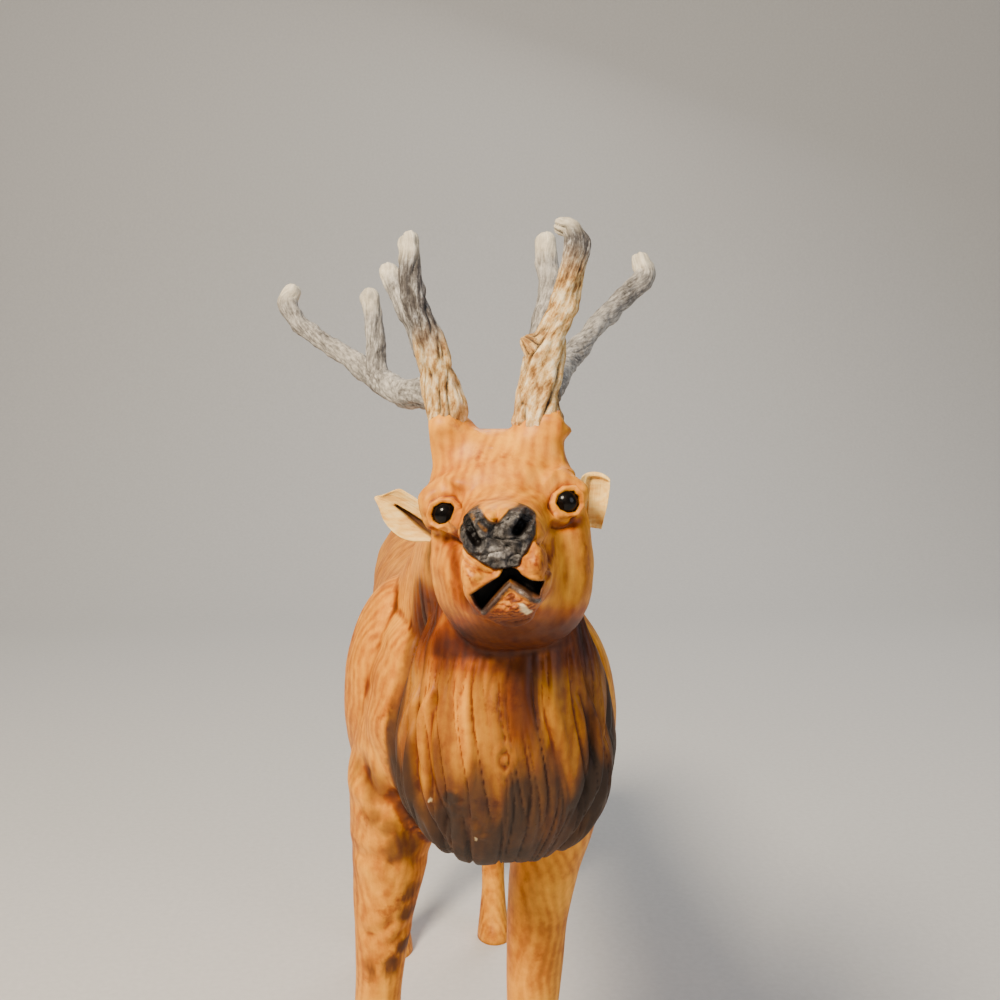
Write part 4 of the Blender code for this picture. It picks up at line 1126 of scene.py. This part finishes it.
# knots and stubs of side shoots: place, radius and height of the swelling
antlerKnots = {
    "right": [
        ((-13.5, -158, 302.5), 3.2, 1.3), ((-7.5, -159, 293.5), 2.6, 0.9), ((-12.0, -152, 288.0), 2.6, 1.0),
        ((-17.0, -156, 313.0), 2.4, 0.7), ((-40.5, -88, 300.0), 2.4, 0.7), ((-22.5, -116, 288.0), 2.6, 0.8),
    ],
    "left": [
        ((14.6, -159, 298.0), 2.8, 0.9), ((21.5, -159, 292.0), 2.6, 0.8), ((24.5, -156, 309.0), 2.4, 0.7),
        ((46.0, -86, 309.0), 2.4, 0.7), ((55.0, -78, 317.5), 2.2, 0.6), ((20.5, -140, 311.0), 2.0, 0.6),
    ],
}


# two directions square to each step of a line, kept from turning by one fixed direction
def squareTo(along):
    side = np.cross(along, [0.3, 0.9, 0.1])
    side /= np.linalg.norm(side, axis=1)[:, None]
    return side, np.cross(side, along)


# a round bar of changing thickness along a smooth line, with ball ends
def shootForm(shoot, perRow=7, sides=24):
    table = curveRows(shoot, perRow * len(shoot))
    middle, radius = table[:, :3], table[:, 3]
    along = np.gradient(middle, axis=0)
    along /= np.linalg.norm(along, axis=1)[:, None]
    side, up = squareTo(along)
    angle = np.linspace(0, 2 * pi, sides, endpoint=False)
    rings = (
        middle[:, None, :]
        + side[:, None, :] * (radius[:, None] * np.cos(angle))[:, :, None]
        + up[:, None, :] * (radius[:, None] * np.sin(angle))[:, :, None]
    )
    balls = [eggForm(row[:3], (row[3] * 0.99,) * 3, 12, 20) for row in (table[0], table[-1])]
    return [closedGrid(rings)] + balls


# shoots joined in one skin, then furrowed bark: each point is given its place along and round the
# nearest shoot, and the furrows are drawn out in those directions
def buildAntler(name, shoots, knots, goldTop, seed):
    piece = newPiece(name, *joined([form for shoot in shoots for form in shootForm(shoot)]))
    oneSkin(piece, antlers["voxel"], antlers["passes"])
    points, normals = pointsOf(piece)
    best = np.full(len(points), 1e9)
    length, around, tip, stem = (np.zeros(len(points)) for _ in range(4))
    for index, shoot in enumerate(shoots):
        table = curveRows(shoot, 6 * len(shoot))
        line, radius = table[:, :3], table[:, 3]
        gap, share = alongPath(points, line)
        stations = np.linspace(0, 1, len(line))
        gap = gap / np.interp(share, stations, radius)
        run = np.concatenate([[0], np.cumsum(np.linalg.norm(np.diff(line, axis=0), axis=1))])
        at = np.interp(share, stations, run)
        step = np.gradient(line, axis=0)
        step /= np.linalg.norm(step, axis=1)[:, None]
        centre, axis = (
            np.stack([np.interp(share, stations, rows[:, k]) for k in range(3)], axis=1)
            for rows in (line, step)
        )
        one, two = squareTo(axis)
        turn = np.arctan2(((points - centre) * two).sum(1), ((points - centre) * one).sum(1))
        mine = gap < best
        short = run[-1] < 12
        best = np.where(mine, gap, best)
        length = np.where(mine, at + 40 * index, length)
        around = np.where(mine, turn + 0.05 * at, around)
        tip = np.where(mine, 0 if short else ease(at, run[-1] - 7, run[-1] - 0.5), tip)
        stem = np.where(mine, 1.0 if index == 0 or short else 0.0, stem)
    girth = np.stack([np.cos(around), np.sin(around)], axis=1) / antlers["furrowAngle"]
    bark = np.column_stack([girth, length / antlers["furrowLength"]])
    run = piece.data.attributes.new("branch", "FLOAT_VECTOR", "POINT")
    run.data.foreach_set("vector", bark.astype(np.float32).ravel())
    deep = furrows(bark, (1, 1, 1), 0.20, seed) ** 1.3
    fine = furrows(bark * [2.2, 2.2, 1.4], (1, 1, 1), 0.25, seed + 1)
    low = 1 - ease(points[:, 2], 296, 318)
    strength = 0.45 + 0.75 * stem * (0.5 + 0.5 * low)
    lift = noise(points, (4.5, 4.5, 5.5), seed + 2) - 0.5
    lift += 0.5 * (noise(points, (1.6, 1.6, 2.4), seed + 3) - 0.5)
    lift -= antlers["furrowDepth"] * strength * deep + 0.25 * fine * strength
    for middle, radius, height in knots:
        lift += height * bell(np.linalg.norm(points - np.array(middle), axis=1), 0, radius)
    setPoints(piece, points + normals * lift[:, None])
    high = points[:, 2]
    patchy = 10.5 * (noise(points, (6, 6, 9), seed + 4) - 0.5)
    gold = stem * (1 - ease(high + patchy, goldTop - 8, goldTop + 6))
    setMark(piece, "gold", gold)
    sootyFront = stem * (1 - gold) * ease(-points[:, 1], 149, 153)
    # painted shade: the side shoots darker near where they join the stem
    setMark(piece, "dark", sootyFront + 0.5 * (1 - stem) * bell(length % 40, 6, 12))
    setMark(piece, "tip", tip * (0.5 + 0.9 * noise(points, (3, 3, 3), seed + 5)))
    setMark(piece, "crease", 0.9 * ease(creaseDepth(piece, 8), 0.05, 0.42) + 0.3 * deep * strength)
    thinTo(piece, antlers["triangles"])
    return piece


ears = {
    "right": {
        "root": (-18.0, -8, 5.8), "tip": (-33.0, -7, 15.4), "looks": (-0.25, 0.93, -0.25), "side": (0, 0, 1),
        "nearEdge": (3.6, 5.2, 5.8, 5.2, 3.7, 1.1), "farEdge": (1.6, 3.6, 4.6, 5.0, 4.8, 1.0),
        "curls": (1.0, 0.6), "slot": [(0.0, -1.2), (0.2, -0.8), (0.45, 0.0), (0.68, 0.6)],
        "slotWidths": (1.5, 0.4), "slotDepth": 2.0, "floor": 0.0, "behind": 1.5, "slotShade": 0.85,
    },
    "left": {
        "root": (22.0, -8, 2.8), "tip": (24.4, -8, 17.0), "looks": (-0.45, 0.88, 0.05), "side": (1, 0, 0),
        "nearEdge": (4.6, 5.0, 5.0, 4.8, 4.4, 3.8), "farEdge": (2.6, 3.0, 3.4, 3.6, 3.7, 3.6),
        "curls": (1.2, 0.8), "slot": [(0.05, -2.1), (0.4, -1.7), (0.7, -1.6), (0.90, -1.4)],
        "slotWidths": (0.5, 0.5), "slotDepth": 0.3, "floor": 0.9, "behind": 1.2, "slotShade": 0.30,
    },
    "wall": 1.4,
    "endRound": 0.1,
    "ripple": 0.5,
    "grid": (110, 161),      # stations along a leaf, and across it
}


# a closed skin between two sheets of the same grid: the sheets, the two long rims and the two ends
def closedSheet(front, back):
    rings = np.concatenate([front, back[:, ::-1]], axis=1)
    count, sides = rings.shape[:2]
    i, j = np.meshgrid(np.arange(count - 1), np.arange(sides), indexing="ij")
    a, b = i * sides + j, i * sides + (j + 1) % sides
    quads = np.stack([a, b, b + sides, a + sides], axis=-1).reshape(-1, 4)
    k = np.arange(sides // 2 - 1)
    low = np.stack([k, sides - 1 - k, sides - 2 - k, k + 1], axis=-1)
    return rings.reshape(-1, 3), np.vstack([quads, low, (count - 1) * sides + low[:, ::-1]]).tolist()


# A curled leaf. Along it run the stations t from root to tip, across it the shares j from the near
# edge at -1 to the far edge at 1. Each half of the cross section is an arc of its own curl, whose
# radius makes it reach the edge. The front is this sheet moved half a wall out, less a slot that
# narrows towards the tip and a sunk floor between raised rims; the back is moved in and bulges.
def buildEar(name, form, seed):
    turn = headDirections()
    root = fromHead(form["root"])
    reach = fromHead(form["tip"]) - root
    along = reach / np.linalg.norm(reach)
    side, looks = (turn @ np.array(form[key], float) for key in ("side", "looks"))
    across = side - along * (side @ along)
    across /= np.linalg.norm(across)
    looks = looks - along * (looks @ along) - across * (looks @ across)
    looks /= np.linalg.norm(looks)
    rows, columns = ears["grid"]
    t, j = np.meshgrid(np.linspace(0, 1, rows), np.linspace(-1, 1, columns), indexing="ij")
    smooth = [curveRows(np.array(form[key])[:, None], 61)[:, 0] for key in ("nearEdge", "farEdge")]
    near, far = (np.interp(t, np.linspace(0, 1, 61), edge) for edge in smooth)
    curl = np.where(j > 0, form["curls"][1], form["curls"][0])
    radius = np.where(j > 0, far, near) / np.sin(np.minimum(curl, pi / 2))
    places = np.stack([t.ravel(), j.ravel()], axis=1)
    ripple = ears["ripple"] * (noise(places, (0.24, 0.45), seed).reshape(t.shape) - 0.5)
    ripple += 0.14 * (noise(places, (0.5, 0.06), seed + 1).reshape(t.shape) - 0.5)
    sheet = (
        root
        + reach * (t - ears["endRound"] * t**4 * j**2)[..., None]
        + across * (radius * np.sin(curl * j))[..., None]
        + looks * (radius * (1 - np.cos(curl * j)) + ripple)[..., None]
    )
    outwards = np.array(looks)[None, None, :]
    rim = np.sqrt(np.clip(1 - np.abs(j) ** 14, 0.02, 1)) * np.sqrt(np.clip(1 - t**30, 0.05, 1))
    slotLine = np.array(form["slot"])
    middle = np.interp(t, slotLine[:, 0], slotLine[:, 1])
    wide = np.interp(t, slotLine[[0, -1], 0], form["slotWidths"])
    gap = np.abs(radius * np.sin(curl * j) - middle) / wide
    slot = (1 - ease(gap, 0.45, 1.1)) * (1 - ease(t, slotLine[-1, 0] - 0.04, slotLine[-1, 0] + 0.03))
    floor = ease(j, -0.52, -0.38) * (1 - 0.8 * ease(j, 0.80, 1.0))
    floor = floor * ease(t, 0.05, 0.11) * (1 - ease(t, 0.88, 0.94))
    front = ears["wall"] / 2 * rim - form["slotDepth"] * slot - form["floor"] * floor
    back = ears["wall"] / 2 * rim + form["behind"] * (1 - j**2) * rim
    frontSheet, backSheet = sheet + front[..., None] * outwards, sheet - back[..., None] * outwards
    piece = facedOutwards(newPiece(name, *closedSheet(frontSheet, backSheet)))
    # painted shade: dark in the slot and beside it, lighter on the sunk floor and darkest next to its near
    # rim; the whole back slightly darker
    shade = form["slotShade"] * (slot + 0.25 * bell(gap, 0.8, 0.9) * ease(0.8 - t, 0, 0.1))
    shade = np.maximum(shade, (0.10 + 0.25 * bell(j, -0.38, 0.22)) * floor * (form["floor"] > 0))
    setMark(piece, "cupShade", np.concatenate([shade, np.full(t.shape, 0.1)], axis=1).ravel())
    return piece


beads = {"radius": 3.2, "rings": 40, "sides": 48}


def buildEye(name, place):
    ball = eggForm(place, (beads["radius"],) * 3, beads["rings"], beads["sides"], onHead=True)
    return facedOutwards(newPiece(name, *ball))


stageLook = {
    "cameraFocal": 45.0,         # millimetres on a sensor of cameraSensor
    "cameraSensor": 36,
    "cameraPlace": (-16.0, -474.0, 300.0),
    "cameraTurn": 4.0,
    "cameraDown": 7.0,
    "floorReach": 9000,          # the floor's half width, and how far it runs in front
    "bendStart": 900,            # where the floor starts to curl up behind, and how wide the curl is
    "bendRadius": 500,
    "wallTop": 6000,
    "room": ("dfe3e8", 0.20),
    # each lamp's place and aim in metres, width, power and colour
    "lamps": {
        "keySoftbox": ((-0.50, -0.70, 1.00), (0, -0.1, 0.2), 0.34, 32.0, "ffeed6"),
        "fillSoftbox": ((0.9, -0.7, 0.6), (0, -0.05, 0.2), 0.7, 5.0, "dfe7f8"),
        "backSoftbox": ((0.3, 1.0, 1.1), (0, 0.05, 0.15), 0.6, 7.0, "ffffff"),
    },
}


def buildStage():
    # a floor that curls up into a wall: flat, then a quarter circle, then upright
    reach, start, radius = (stageLook[key] for key in ("floorReach", "bendStart", "bendRadius"))
    across = np.linspace(-reach, reach, 3)
    bend = np.linspace(0, pi / 2, 24)
    curl = np.stack([start + radius * np.sin(bend), radius * (1 - np.cos(bend))], axis=1)
    profile = np.vstack([[(-reach, 0)], curl, [(start + radius, stageLook["wallTop"])]])
    grid = np.stack([np.broadcast_to(across[None, :], (len(profile), 3)),
                     np.broadcast_to(profile[:, :1], (len(profile), 3)),
                     np.broadcast_to(profile[:, 1:], (len(profile), 3))], axis=-1)
    rows, cols = grid.shape[:2]
    i, j = np.meshgrid(np.arange(rows - 1), np.arange(cols - 1), indexing="ij")
    a = i * cols + j
    faces = np.stack([a, a + 1, a + cols + 1, a + cols], axis=-1).reshape(-1, 4).tolist()
    sweep = newPiece("paper_sweep", grid.reshape(-1, 3), faces)
    sweep.data.polygons.foreach_set("use_smooth", np.ones(len(sweep.data.polygons), bool))
    sweep.data.materials.append(paperSweep())


def areaLight(name, place, aim, size, power, colour):
    light = bpy.data.lights.new(name, "AREA")
    light.shape = "DISK"
    light.size = size
    light.energy = power
    light.color = linearColour(colour)[:3]
    lamp = bpy.data.objects.new(name, light)
    bpy.context.scene.collection.objects.link(lamp)
    lamp.location = place
    lamp.rotation_euler = (Vector(aim) - Vector(place)).to_track_quat("-Z", "Y").to_euler()


def buildLight():
    world = bpy.data.worlds.new("softRoom")
    bpy.context.scene.world = world
    world.use_nodes = True
    background = world.node_tree.nodes["Background"]
    colour, strength = stageLook["room"]
    background.inputs["Color"].default_value = linearColour(colour)
    background.inputs["Strength"].default_value = strength
    for name, lamp in stageLook["lamps"].items():
        areaLight(name, *lamp)


def buildCamera():
    camera = bpy.data.cameras.new("photoView")
    camera.lens = stageLook["cameraFocal"]
    camera.sensor_width = stageLook["cameraSensor"]
    camera.clip_start = 0.01
    holder = bpy.data.objects.new("photoView", camera)
    bpy.context.scene.collection.objects.link(holder)
    a, p = radians(stageLook["cameraTurn"]), radians(stageLook["cameraDown"])
    forward = Vector((sin(a) * cos(p), cos(a) * cos(p), -sin(p)))
    holder.location = Vector((np.array(stageLook["cameraPlace"]) + rowShift) / 1000)
    holder.rotation_euler = forward.to_track_quat("-Z", "Y").to_euler()
    bpy.context.scene.camera = holder


print("camera, light and floor")
buildCamera()
buildLight()
buildStage()

print("materials")
juniper, twig, boxwood, glass = oiledJuniper(), weatheredTwig(), shavedBoxwood(), blackGlassBead()

print("figure")
finishPiece(buildFigure(), "figure", juniper)

print("antlers")
rightTwig = buildAntler("right_twig_antler", antlers["right"], antlerKnots["right"], 303, 30)
finishPiece(rightTwig, "right_antler", twig)
leftTwig = buildAntler("left_twig_antler", antlers["left"], antlerKnots["left"], 322, 40)
finishPiece(leftTwig, "left_antler", twig)

print("ears and eyes")
finishPiece(buildEar("right_leaf_ear", ears["right"], 51), "right_ear", boxwood)
finishPiece(buildEar("left_leaf_ear", ears["left"], 52), "left_ear", boxwood)
finishPiece(buildEye("right_bead_eye", head["rightEye"]), "right_eye", glass)
finishPiece(buildEye("left_bead_eye", head["leftEye"]), "left_eye", glass)
